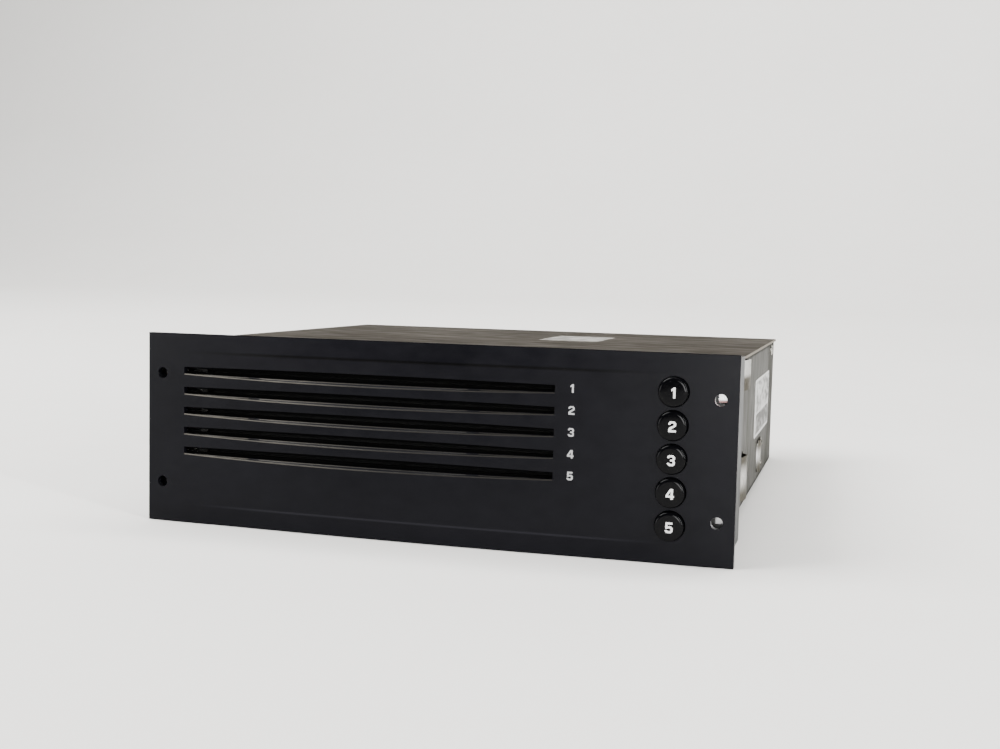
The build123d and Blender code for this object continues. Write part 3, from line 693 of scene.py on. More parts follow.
# The finish of each material slot in the record
FINISHES: dict[str, Finish] = {
    # Injection-moulded ABS with a spark-eroded texture: satin black, greyer where handling dulls it
    "face_plastic": Finish(
        "black_abs_spark_textured", "#060609", "#0c0c10", 0.33, specular=0.065,
        broad=(60.0, 40.0, 30.0), pattern=(7.0, 7.0, 4.0), pattern_share=0.3, rough_spread=0.05,
        grain=0.35, relief=0.006,
        bands=(
            # Painted highlight: a light line along the lower crease; painted shade: a black line along the
            # upper crease
            Band(Along.Z, (5.7, 6.3), 0.25, "#1b1b1f", 0.7, (Along.X, (-66.0, 62.0), 18.0)),
            Band(Along.Z, (54.5, 55.3), 0.35, "#000000", 0.9, (Along.X, (-70.0, 62.0), 18.0)),
        ),
    ),
    # Polished black acrylic button caps: mirror highlights along their rims, with faint hairlines
    "button_plastic": Finish(
        "black_acrylic_polished", "#020203", "#040405", 0.09, specular=0.08,
        broad=6.0, pattern=1.2, rough_spread=0.04, grain=2.5, relief=0.002,
    ),
    # Hot-dip zinc on thin sheet, bent to a tray: light grey with upright rolling streaks
    "frame_steel": Finish(
        "zinc_plated_sheet_upright", "#8f9192", "#62625f", 0.4, 1.0, edge="#b2b2b4",
        broad=(30.0, 9.0, 40.0), pattern=(1.2, 1.2, 26.0), pattern_share=0.6, rough_spread=0.1,
        grain=(0.4, 0.4, 9.0),
    ),
    # The chassis walls: the same sheet, older, with upright drawn-out stains, and painted shade over their
    # rear, under the cover's edge and along their lower edge
    "case_steel": Finish(
        "zinc_plated_sheet_dull", "#868686", "#54534f", 0.45, 1.0, edge="#a2a29f",
        broad=(30.0, 30.0, 38.0), broad_share=0.45, pattern=(1.5, 1.5, 12.0), pattern_share=0.5,
        rough_spread=0.12, grain=(0.5, 0.5, 10.0), relief=0.005,
        bands=(
            # Painted shade over the walls' rear, a painted shadow under the cover's edge, and painted shade
            # along the lower edge
            Band(Along.Y, (58.0, 90.0), 6.0, "#2a2826", 0.6),
            Band(Along.Z, (55.9, 60.0), 0.5, "#0c0b0a", 0.9),
            Band(Along.Z, (5.0, 9.6), 0.6, "#141312", 0.8),
        ),
    ),
    # The cover: rolled steel, brownish partly from tarnish and partly as a painted reflection of brown
    # surroundings, its streaks running from side to side
    "cover_steel": Finish(
        "rolled_steel_tarnished", "#6c6862", "#45413b", 0.5, 1.0, edge="#736e67",
        broad=(46.0, 30.0, 40.0), broad_share=0.6, pattern=(13.0, 3.4, 3.4), pattern_share=0.7,
        rough_spread=0.12, grain=(12.0, 0.5, 0.5), relief=0.005,
        bands=(
            # Painted shade over the cover's rear, and a painted highlight along its right edge
            Band(Along.Y, (81.0, 90.0), 1.5, "#2f2b26", 0.75),
            Band(Along.X, (90.8, 92.0), 0.1, "#cfcac1", 0.7),
        ),
    ),
    # Hardened strip, dulled by handling, with painted white highlights on the leaves' crowns and on the
    # tongues' ends, and rust under the upper tongue's end
    "spring_steel": Finish(
        "rubbed_spring_steel", "#83817b", "#54514b", 0.3, 1.0, edge="#a6a5a2",
        broad=6.0, pattern=(0.8, 2.0, 4.0), grain=(1.0, 1.0, 3.0),
        bands=(
            # Painted highlights on the three leaves' crowns and on the tongues' ends; the last band is real
            # rust
            Band(Along.Z, (51.9, 60.0), 1.0, "#f6f6f4", 0.95, (Along.Y, (-57.0, -42.0), 3.5)),
            Band(Along.Z, (16.9, 23.0), 2.6, "#f6f6f4", 0.95, (Along.Y, (-54.0, -43.0), 4.5)),
            Band(Along.Z, (15.6, 19.8), 1.9, "#f6f6f4", 0.95, (Along.Y, (17.0, 30.0), 4.0)),
            Band(Along.Y, (-90.0, -83.6), 0.2, "#fbfbfa", 0.97),
            Band(Along.Z, (46.0, 47.4), 0.35, "#6b2d26", 0.85, (Along.Y, (-90.0, -83.6), 0.2)),
        ),
    ),
    # Pad-printed white ink: slightly uneven, matt, a little grey where it has worn thin
    "label": Finish(
        "white_pad_print", "#d8d8d6", "#b2b2b0", 0.6,
        broad=8.0, broad_share=0.3, pattern=0.5, pattern_share=0.5, relief=0.0,
    ),
    # Zinc-plated screws: satin, with fine turning marks
    "screw_steel": Finish(
        "zinc_plated_screw", "#b5b4ae", "#7d7b73", 0.3, 1.0,
        broad=4.0, pattern=0.6, grain=0.2, relief=0.003,
    ),
    # Pressed wool felt: dead black, no gloss
    "felt": Finish(
        "black_wool_felt", "#020202", "#040404", 0.95, specular=0.02, pattern=0.4, grain=0.25, relief=0.05
    ),
    # Glass-epoxy laminate under solder mask: green with the weave faintly showing
    "circuit_board": Finish(
        "green_epoxy_board", "#1c4a2c", "#123820", 0.35,
        broad=12.0, pattern=(5.0, 5.0, 0.6), pattern_share=0.6, grain=0.5, relief=0.01, coat=0.2,
    ),
    # Silicone rubber contact mat: soft grey, faintly dusty
    "mat_rubber": Finish(
        "grey_silicone_rubber", "#5d5e60", "#4d4e50", 0.7, specular=0.3, pattern=1.5, grain=0.4, relief=0.006
    ),
    # Glass-filled nylon for the disc shelves: near black, slightly mottled by its fibres
    "shelf_plastic": Finish(
        "black_nylon_moulded", "#17171a", "#242428", 0.5, specular=0.4,
        pattern=(1.0, 3.0, 1.0), pattern_share=0.5, grain=(0.3, 0.6, 0.3), relief=0.008,
    ),
    # Ground nitrile rubber sleeves and belt: black, matt, with a fine nap from grinding
    "roller_rubber": Finish(
        "black_nitrile_ground", "#131313", "#20201f", 0.75, specular=0.3,
        pattern=(2.5, 0.5, 0.5), grain=(0.6, 0.15, 0.15), relief=0.01,
    ),
    # Centreless-ground shafting: bright, with faint rings round it
    "shaft_steel": Finish(
        "ground_steel_shaft", "#c2c2c0", "#9a9a97", 0.22, 1.0,
        broad=15.0, pattern=0.5, grain=0.2, relief=0.002,
    ),
    # Stamped and zinc-plated mechanism plates: even grey with rolling lines
    "mech_steel": Finish(
        "zinc_plated_stamping", "#b0afa9", "#8d8b84", 0.34, 1.0,
        broad=25.0, pattern=(1.0, 18.0, 1.0), pattern_share=0.5, grain=(0.4, 6.0, 0.4), relief=0.003,
    ),
    # Drawn and nickel-plated motor cans: smooth, slightly warm
    "motor_can": Finish(
        "nickel_plated_can", "#bdb9b0", "#99958b", 0.26, 1.0, pattern=4.0, grain=1.0, relief=0.002
    ),
    # Natural acetal wheels and puck: milky white, waxy
    "white_plastic": Finish(
        "natural_acetal", "#d8d6cc", "#c9c6ba", 0.4, specular=0.45, grain=0.5, relief=0.003
    ),
    # Black polyester mouldings such as the socket and the pickup's housing: plain satin
    "black_plastic": Finish(
        "black_polyester_moulded", "#161617", "#212123", 0.45, specular=0.45, pattern=1.5, relief=0.006
    ),
    # Gold-flashed brass pins: warm and bright
    "contact_brass": Finish(
        "gold_flashed_brass", "#d8b25e", "#b48a3c", 0.22, 1.0, pattern=0.6, relief=0.001
    ),
}


@dataclass(frozen=True)
class PrintedLabel:
    """Polyester film sticker: a pale field with worn marks above a greyer one, with a printed rim and no
    lettering. Its corners tell the fields' places, `along` and `up` the axes that it lies on, and
    `wrinkles` the size and the height of the film's unevenness."""

    name: str
    along: Along
    up: Along
    low: Vector
    high: Vector
    split: float
    paper: str
    worn: str
    field: str
    margin: float = 1.0
    rim: float = 1.0
    soft: float = 0.15
    marks: str = "#5c5c59"
    specular: float = 0.1
    rough: Span = (0.3, 0.5)
    smudges: Point = (6.0, 9.0, 2.4)
    scuffs: Point = (14.0, 14.0, 9.0)
    scuff_share: float = 0.35
    wrinkles: Span = (9.0, 0.05)

    def material(self) -> bpy.types.Material:
        """The label's material.

        Returns:
            The material.
        """
        material, tree, shader = fresh_material(self.name)
        parts = add(tree, "SeparateXYZ", {0: add(tree, "TexCoord").outputs["Object"]})
        floor, top = self.low[self.up.value], self.high[self.up.value]
        split = floor + self.split
        sides = (self.low[self.along.value] + self.margin, self.high[self.along.value] - self.rim)
        columns = span_mask(tree, parts, self.along, sides, self.soft)
        fields = []
        for rows in ((floor + self.rim, split - self.rim / 2), (split + self.rim / 2, top - self.rim)):
            mask = span_mask(tree, parts, self.up, rows, self.soft)
            fields.append(add(tree, "Math", {0: columns, 1: mask}, operation="MULTIPLY").outputs[0])
        marks = noise(tree, self.smudges, 3.0, 2.2)
        smudge = add(tree, "MapRange", {"Value": marks, **MIDDLE}).outputs[0]
        wear = noise(tree, self.scuffs, 4.0, 5.4)
        scuff = add(tree, "MapRange", {"Value": wear, **MIDDLE, "To Max": self.scuff_share}).outputs[0]
        marked = add(tree, "Math", {0: fields[1], 1: smudge}, operation="MULTIPLY").outputs[0]
        colour: Socket | tuple[float, ...] = linear(self.paper)
        for share, other in ((scuff, self.worn), (marked, self.marks), (fields[0], self.field)):
            blend = {0: share, 6: colour, 7: linear(other)}
            colour = add(tree, "Mix", blend, data_type="RGBA").outputs[2]
        tree.links.new(colour, shader.inputs["Base Color"])
        ends = {"Value": smudge, **MIDDLE, "To Min": self.rough[0], "To Max": self.rough[1]}
        tree.links.new(add(tree, "MapRange", ends).outputs[0], shader.inputs["Roughness"])
        shader.inputs["Specular IOR Level"].default_value = self.specular
        size, height = self.wrinkles
        wrinkle = {"Height": noise(tree, size, 2.0, 1.1), "Distance": height * MM, "Strength": 1.0}
        tree.links.new(add(tree, "Bump", wrinkle).outputs[0], shader.inputs["Normal"])
        return material


def place(
    obj: Piece,
    body: str,
    slot: str,
    stands_for: Sequence[str] = (),
    finish: Finish | PrintedLabel | None = None,
) -> Piece:
    """Dress a finished piece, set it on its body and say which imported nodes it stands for.

    Args:
        obj: The finished piece.
        body: The body that it rides on.
        slot: The record's material slot.
        stands_for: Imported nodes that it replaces.
        finish: Its finish, where it isn't the slot's own.

    Returns:
        The piece.
    """
    obj.data.materials.clear()
    obj.data.materials.append((finish or FINISHES[slot]).material())
    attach(obj, body)
    if stands_for:
        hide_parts(*stands_for)
    return obj


# Pieces


@dataclass
class FaceShell:
    """The moulded faceplate: a bowed skin with soft creases, five slots, and holes for buttons and tools.

    It is built flat, with its rim's back further off than it is, and then bowed, which carries the
    skin forward and leaves the rim's back in its plane. A boss is given by X, Z, reach and bore.
    The lips that get a painted highlight are faces within lip_slopes, at most lip_margins under and
    over the lip's own height, and outside lip_wall, which is the wall between the lip's two edges. The
    matt edges are faces steeper than the first value of matt_edge and no further in than the second.
    """

    columns: int = 47
    slot_columns: int = 31
    flat_depth: float = 4.0
    over: float = 3.0
    top_crease: Span = (5.4, 0.5)
    bottom_crease: Span = (6.0, 0.55)
    crease_fade: Span = (60.0, 88.0)
    crease_step: Span = (0.7, 0.13)
    slot_length: float = 122.0
    slot_end: float = 2.1
    slot_mid: float = 2.9
    lip_drop: float = 0.75
    lip_depth: float = 0.62
    lip_front_round: float = 0.36
    lip_inner_round: float = 0.32
    lip_slopes: Span = (0.35, 0.93)
    lip_margins: Span = (0.5, 0.2)
    lip_wall: Span = (0.05, 0.1)
    lip_behind: float = 0.4
    matt_edge: Span = (0.3, 0.3)
    button_hole: float = 4.5
    tool_hole: float = 1.75
    tool_hole_x: float = 88.85
    tool_hole_offset: float = 17.55
    edge_round: float = 0.24
    boss_radius: float = 2.5
    boss_places: tuple[tuple[float, float, float, float], ...] = (
        (-69.9, 13.0, 14.2, 1.25),
        (-69.9, 54.2, 14.2, 1.25),
        (55.6, 13.0, 14.2, 1.25),
        (55.6, 54.2, 14.2, 1.25),
        (61.0, 17.0, 8.0, 1.0),
        (61.0, 43.0, 8.0, 1.0),
    )

    def blank(self) -> Piece:
        """The flat plate, divided into columns and sliced along its two creases.

        Returns:
            The plate.
        """
        half, front = UNIT.width / 2, UNIT.face_y
        plate = box("face_shell", (-half, half), (front, front + self.flat_depth), (0, UNIT.height))
        low, high = self.bottom_crease[0], UNIT.height - self.top_crease[0]
        slice_at(plate, Along.Z, (low, low + self.crease_step[0], high - self.crease_step[0], high))
        divide(plate, Along.X, self.columns)
        return plate

    def lip_fall(self, depth: float, drop: float) -> float:
        """How far the lower lip lies under the slot's lower line.

        Args:
            depth: Depth behind the face.
            drop: How far its step falls at this place along the slot.

        Returns:
            The fall: a rounded front edge, a ledge, and a rounded inner edge.
        """
        outer, inner = self.lip_front_round, min(self.lip_inner_round, drop)
        if depth <= outer:
            reach = outer - max(depth, 0.0)
            return drop + outer - math.sqrt(max(outer**2 - reach**2, 0.0))
        if depth <= self.lip_depth:
            return drop
        reach = self.lip_depth + self.lip_inner_round - depth
        if reach <= 0:
            return 0.0
        share = min(1.0, reach / self.lip_inner_round)
        return inner * (1 - math.sqrt(1 - share**2))

    def slot_tool(self) -> Piece:
        """A cutter for the uppermost slot: taller in its middle, with the lip's shape underneath.

        Returns:
            The cutter.
        """
        half, z, x = self.slot_length / 2, UNIT.slot_z(1), UNIT.slot_x
        y = (UNIT.face_y - self.over, UNIT.face_y + self.flat_depth + self.over)
        tool = box("slot_tool", (x - half, x + half), y, (z - self.slot_end / 2, z + self.slot_end / 2))
        falls = [1 - math.cos(math.radians(a)) for a in (30, 50, 70, 90)]
        stations = [0.0, *(self.lip_front_round * fall for fall in falls), self.lip_depth]
        falls.insert(0, 1 - math.cos(math.radians(10)))
        stations += [self.lip_depth + self.lip_inner_round * fall for fall in falls]
        slice_at(tool, Along.Y, [UNIT.face_y + depth for depth in stations])
        divide(tool, Along.X, self.slot_columns)
        swell = (self.slot_mid - self.slot_end) / 2
        for vertex in tool.data.vertices:
            share = 1 - ((vertex.co.x / MM - x) / half) ** 2
            if vertex.co.z / MM > z:
                vertex.co.z += share * swell * MM
            else:
                fall = self.lip_fall(vertex.co.y / MM - UNIT.face_y, share * self.lip_drop)
                vertex.co.z -= (share * swell + fall) * MM
        return tool

    def cut(self, plate: Piece) -> None:
        """Hollow the back and cut the slots and the round holes.

        Args:
            plate: The flat plate.
        """
        half, front = UNIT.width / 2 - UNIT.rim, UNIT.face_y
        back = (front + UNIT.skin, front + self.flat_depth + 1)
        hollow = box("hollow", (-half, half), back, (UNIT.rim, UNIT.height - UNIT.rim))
        combine(plate, [hollow], Cut.AWAY)
        slot = self.slot_tool()
        others = [copied(slot, (0, 0, UNIT.slot_z(k) - UNIT.slot_z(1))) for k in range(2, 6)]
        combine(plate, [slot, *others], Cut.AWAY)
        span = (front - self.over, front + self.flat_depth + self.over)
        hole = rod("drill", self.button_hole, Along.Y, span, (UNIT.button_x, UNIT.button_z(1)), 72)
        drills = [hole, *(copied(hole, drop) for drop in UNIT.button_drops()[1:])]
        for side in (-1, 1):
            for level in (-1, 1):
                across = (side * self.tool_hole_x, UNIT.height / 2 + level * self.tool_hole_offset)
                drills.append(rod("drill", self.tool_hole, Along.Y, span, across, 40))
        combine(plate, drills, Cut.AWAY)

    def crease(self, x: float, z: float) -> float:
        """How far the creased strips fall back at a point of the front.

        Args:
            x: Distance from the middle.
            z: Height on the plate.

        Returns:
            The set-back: a slope from the crease to the edge, and a small step along the crease.
        """
        start, end = self.crease_fade
        height, depth = self.crease_step
        total = 0.0
        for inside, (reach, fall) in ((UNIT.height - z, self.top_crease), (z, self.bottom_crease)):
            total += max(0.0, reach - inside) / reach * fall
            total += depth * min(1.0, max(0.0, (reach + height - inside) / height))
        return smooth_step((end - abs(x)) / (end - start)) * total

    def bend(self, plate: Piece) -> None:
        """Bow the flat plate, and let its creased strips fall back.

        Args:
            plate: The flat plate with its openings.
        """
        for vertex in plate.data.vertices:
            x, y, z = vertex.co / MM
            depth = y - UNIT.face_y
            rim_share = max(0.0, (depth - UNIT.skin) / (self.flat_depth - UNIT.skin))
            bowed = min(depth, UNIT.skin) - UNIT.bow_at(x) * (1 - rim_share)
            bowed += self.crease(x, z) * max(0.0, 1 - depth / UNIT.skin)
            vertex.co.y = (UNIT.face_y + bowed) * MM

    def bosses(self, plate: Piece) -> None:
        """Add the screw bosses behind the skin.

        Args:
            plate: The bowed plate.
        """
        tubes = []
        for x, z, reach, bore in self.boss_places:
            start = UNIT.face_y - UNIT.bow_at(x) + UNIT.skin / 2
            tube = rod("boss", self.boss_radius, Along.Y, (start, UNIT.face_y + reach), (x, z), 32)
            hole = (UNIT.face_y + UNIT.skin, UNIT.face_y + reach + 1)
            combine(tube, [rod("bore", bore, Along.Y, hole, (x, z), 24)], Cut.AWAY)
            tubes.append(tube)
        combine(plate, tubes, Cut.JOIN)

    def on_lip(self, middle: Vector, normal: Vector) -> bool:
        """Whether a face belongs to the edges of one of the slots' lower lips, which get a painted highlight.

        Args:
            middle: The face's middle.
            normal: The face's normal.

        Returns:
            Whether it does. The small wall between the two edges doesn't.
        """
        across = 1 - ((middle.x - UNIT.slot_x) / (self.slot_length / 2)) ** 2
        if across <= 0 or not self.lip_slopes[0] < normal.z < self.lip_slopes[1]:
            return False
        depth = middle.y - UNIT.face_y + UNIT.bow_at(middle.x)
        fall, inner = across * self.lip_drop, self.lip_inner_round
        (under, over), (foot, head) = self.lip_margins, self.lip_wall
        for number in range(1, 6):
            edge = UNIT.slot_z(number) - self.slot_end / 2 - across * (self.slot_mid - self.slot_end) / 2
            if edge - fall - under < middle.z < edge + over:
                on_wall = edge - fall + foot < middle.z < edge - inner + head
                return not on_wall and depth < self.lip_depth + inner + self.lip_behind
        return False

    def build(self) -> Piece:
        """Build, bow, round and dress the faceplate.

        Returns:
            The faceplate.
        """
        plate = self.blank()
        self.cut(plate)
        self.bend(plate)
        self.bosses(plate)
        round_edges(plate, self.edge_round)
        place(plate, "case", "face_plastic", ["faceplate"])
        # The lips' edges take the material with the painted highlight
        plate.data.materials.append(LIP_HIGHLIGHT_ABS.material())
        plate.data.materials.append(RIM_ABS.material())
        middle, (slope, band) = UNIT.height / 2, self.matt_edge
        for face in plate.data.polygons:
            if self.on_lip(face.center / MM, face.normal):
                face.material_index = 1
            elif abs(face.normal.z) > slope and abs(face.center.z / MM - middle) > middle - band:
                face.material_index = 2
        return plate


@dataclass
class PushButtons:
    """Five round caps with a rounded rim and a nearly flat crown, each on its guide plate and stem."""

    barrel: float = 1.3
    profile: tuple[Span, ...] = (
        (4.3, 0.0), (4.29, 0.45), (4.25, 0.7), (4.16, 0.91), (4.03, 1.06), (3.86, 1.17), (3.66, 1.235),
        (3.45, 1.265), (3.2, 1.278), (1.2, 1.28),
    )
    wing_y: float = 1.483
    wing: Point = (6.0, 1.0, 3.9)
    stem_radius: float = 2.2
    overlap: float = 0.3
    edge_round: float = 0.08

    @property
    def crown_depth(self) -> float:
        """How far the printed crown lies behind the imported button's front."""
        return self.barrel - self.profile[-1][1]

    def top_button(self) -> Piece:
        """Turn the uppermost button: its cap, guide plate and stem as one mesh.

        Returns:
            The button.
        """
        low, high = (corner.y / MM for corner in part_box("button_1"))
        x, z, wing_y = UNIT.button_x, UNIT.button_z(1), UNIT.face_y + self.wing_y
        cap = turned("button", Along.Y, (wing_y + self.overlap, low + self.barrel), (x, z), self.profile, 72)
        wide, thick, tall = self.wing
        plate = box("guide", (x - wide, x + wide), (wing_y, wing_y + thick), (z - tall, z + tall))
        combine(cap, [plate], Cut.JOIN)
        stem = rod("stem", self.stem_radius, Along.Y, (wing_y + thick / 2, high), (x, z), 32)
        combine(cap, [stem], Cut.JOIN)
        round_edges(cap, self.edge_round, segments=1, angle=50)
        return cap

    def build(self) -> list[Piece]:
        """Build one button, copy it for the other four, and dress them all.

        Returns:
            The five buttons.
        """
        first = self.top_button()
        buttons = [first, *(copied(first, drop) for drop in UNIT.button_drops()[1:])]
        for number, button in enumerate(buttons, 1):
            settle(button, f"button_cap_{number}")
            place(button, f"button_{number}", "button_plastic", [f"button_{number}"])
        return buttons


@dataclass
class RubberMat:
    """The buttons' silicone mat: a sheet with five hollow domes, each of which folds as its button is
    pressed."""

    thick: float = 1.0
    corner: float = 1.2
    foot: float = 0.1
    dome: tuple[Span, ...] = ((3.2, 0.0), (3.12, 0.3), (2.85, 1.0), (2.7, 1.55), (2.55, 1.8), (2.3, 1.89))
    hollow: tuple[Span, ...] = ((2.4, 0.0), (2.2, 0.5), (2.0, 0.9), (1.7, 1.05))
    folded: float = 0.4

    def build(self) -> list[Piece]:
        """Mould the sheet and the domes.

        Returns:
            The sheet and the five domes.
        """
        low, high = (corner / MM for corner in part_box("key_mat"))
        x, z, seat = UNIT.button_x, UNIT.button_z(1), high.y - self.thick
        sheet = box("key_mat_sheet", (low.x, high.x), (seat, high.y), (low.z, high.z))
        round_corners(sheet, Along.Y, self.corner, 4)
        dome = turned("dome", Along.Y, (seat, seat - self.foot), (x, z), self.dome, 40)
        cutter = turned("hollow", Along.Y, (high.y + 1, seat - self.foot), (x, z), self.hollow, 32)
        drops = UNIT.button_drops()
        holes = [copied(cutter, drop) for drop in drops]
        combine(dome, [cutter], Cut.AWAY)
        combine(sheet, holes, Cut.AWAY)
        shade(sheet, 40)
        shade(dome, 40)
        pieces = [place(sheet, "case", "mat_rubber", ["key_mat"])]
        for number, drop in enumerate(drops, 1):
            piece = settle(copied(dome, drop), f"key_dome_{number}")
            place(piece, "case", "mat_rubber", ["key_mat"])
            pieces.append(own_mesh(piece))
        bpy.data.objects.remove(dome)
        return pieces


# Bold, squarish digits on a grid ten units high: outer outlines, and the one hole that a 4 has
DIGIT_OUTLINES: dict[int, tuple[tuple[Span, ...], ...]] = {
    1: (((2.4, 0), (4.5, 0), (4.5, 10), (3.1, 10), (0.6, 8.2), (0.6, 6.2), (2.4, 7.4)),),
    2: (
        (
            (0, 6.8), (0, 8.3), (1.7, 10), (5.5, 10), (7.2, 8.3), (7.2, 6.0), (6.0, 4.8), (3.4, 3.4),
            (2.2, 1.9), (7.2, 1.9), (7.2, 0), (0, 0), (0, 2.9), (1.3, 4.4), (4.6, 6.2),
            (5.2, 6.7), (5.2, 7.6), (4.7, 8.1), (2.5, 8.1), (2.0, 7.6), (2.0, 6.8),
        ),
    ),
    3: (
        (
            (0, 7.2), (0, 8.4), (1.6, 10), (5.5, 10), (7.1, 8.4), (7.1, 6.2), (6.2, 5.1), (7.2, 4.0),
            (7.2, 1.6), (5.6, 0), (1.6, 0), (0, 1.6), (0, 2.8), (2.0, 2.8), (2.0, 2.3), (2.5, 1.9),
            (4.7, 1.9), (5.2, 2.3), (5.2, 3.8), (4.7, 4.3), (2.6, 4.3), (2.6, 5.9), (4.6, 5.9),
            (5.1, 6.4), (5.1, 7.6), (4.6, 8.1), (2.5, 8.1), (2.0, 7.6), (2.0, 7.2),
        ),
    ),
    4: (
        (
            (4.5, 0), (6.5, 0), (6.5, 1.9), (7.6, 1.9), (7.6, 3.7), (6.5, 3.7), (6.5, 10), (3.9, 10),
            (0, 4.0), (0, 1.9), (4.5, 1.9),
        ),
        ((4.5, 3.7), (2.0, 3.7), (4.5, 7.7)),
    ),
    5: (
        (
            (0.3, 3.9), (0.6, 10), (6.8, 10), (6.8, 8.1), (2.5, 8.1), (2.4, 6.4), (5.6, 6.4), (7.2, 4.8),
            (7.2, 1.7), (5.5, 0), (1.6, 0), (0, 1.5), (0, 2.7), (2.0, 2.7), (2.0, 2.3), (2.5, 1.9),
            (4.7, 1.9), (5.2, 2.4), (5.2, 4.0), (4.7, 4.5), (2.6, 4.5), (2.2, 3.9),
        ),
    ),
}


@dataclass
class Numerals:
    """White printed digits: small ones beside the slots, and larger ones on the buttons."""

    slot_digit_x: float = 46.2
    slot_digit_rise: float = 0.3
    slot_digit_height: float = 2.5
    button_digit_height: float = 3.1
    button_digit_shift: Span = (0.12, -0.14)
    thickness: float = 0.02
    corner: float = 0.35

    def digit(self, name: str, number: int, height: float) -> Piece:
        """A thin upright digit centred on the origin, facing the front.

        Args:
            name: Name of the piece.
            number: The digit.
            height: Its height.

        Returns:
            The digit as a mesh.
        """
        curve = bpy.data.curves.new(name, "CURVE")
        curve.dimensions = "2D"
        curve.fill_mode = "NONE"
        unit = height / 10 * MM
        for outline in DIGIT_OUTLINES[number]:
            spline = curve.splines.new("POLY")
            spline.points.add(len(outline) - 1)
            for point, (x, y) in zip(spline.points, outline):
                point.co = (x * unit, y * unit, 0, 1)
            spline.use_cyclic_u = True
        digit = bpy.data.objects.new(name, curve)
        bpy.context.scene.collection.objects.link(digit)
        activate(digit)
        bpy.ops.object.convert(target="MESH")
        digit = bpy.context.object
        rise = {"value": (0, 0, self.thickness * MM)}
        steps: tuple[Callable[[], object], ...] = (
            lambda: bpy.ops.mesh.bevel(offset=self.corner * unit, segments=3, affect="VERTICES"),
            bpy.ops.mesh.fill,
            lambda: bpy.ops.mesh.extrude_region_move(TRANSFORM_OT_translate=rise),
            lambda: bpy.ops.mesh.normals_make_consistent(inside=False),
        )
        with editing(digit):
            for step in steps:
                bpy.ops.mesh.select_all(action="SELECT")
                step()
        digit.data.transform(Matrix.Rotation(math.pi / 2, 4, "X"))
        corners = [vertex.co.copy() for vertex in digit.data.vertices]
        low = Vector(min(c[k] for c in corners) for k in range(3))
        high = Vector(max(c[k] for c in corners) for k in range(3))
        digit.data.transform(Matrix.Translation(-(low + high) / 2))
        return settle(digit, name)

    def build(self, crown_depth: float) -> list[Piece]:
        """Print the digits.

        Args:
            crown_depth: How far a button's crown lies behind its packed front.

        Returns:
            The ten digits.
        """
        digits = []
        bow = UNIT.bow_at(self.slot_digit_x)
        across, up = self.button_digit_shift
        for number in range(1, 6):
            digit = self.digit(f"slot_digit_{number}", number, self.slot_digit_height)
            front = UNIT.face_y - bow - self.thickness / 2
            offset = Vector((self.slot_digit_x, front, UNIT.slot_z(number) + self.slot_digit_rise)) * MM
            digit.data.transform(Matrix.Translation(offset))
            for vertex in digit.data.vertices:
                vertex.co.y += (bow - UNIT.bow_at(vertex.co.x / MM)) * MM
            digits.append(place(digit, "case", "label", finish=FACE_INK))
            digit = self.digit(f"button_digit_{number}", number, self.button_digit_height)
            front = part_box(f"button_{number}")[0].y / MM + crown_depth - self.thickness / 2
            offset = Vector((UNIT.button_x + across, front, UNIT.button_z(number) + up)) * MM
            digit.data.transform(Matrix.Translation(offset))
            digits.append(place(digit, f"button_{number}", "label"))
        return digits


@dataclass(frozen=True)
class Leaf:
    """A bent leaf: its edges' heights, its front end's depth behind the face, its length, its bends as
    pairs of distance from the front end and distance out from the wall, and its corners' size."""

    height: Span
    front: float
    length: float
    stops: tuple[Span, ...]
    corner: float


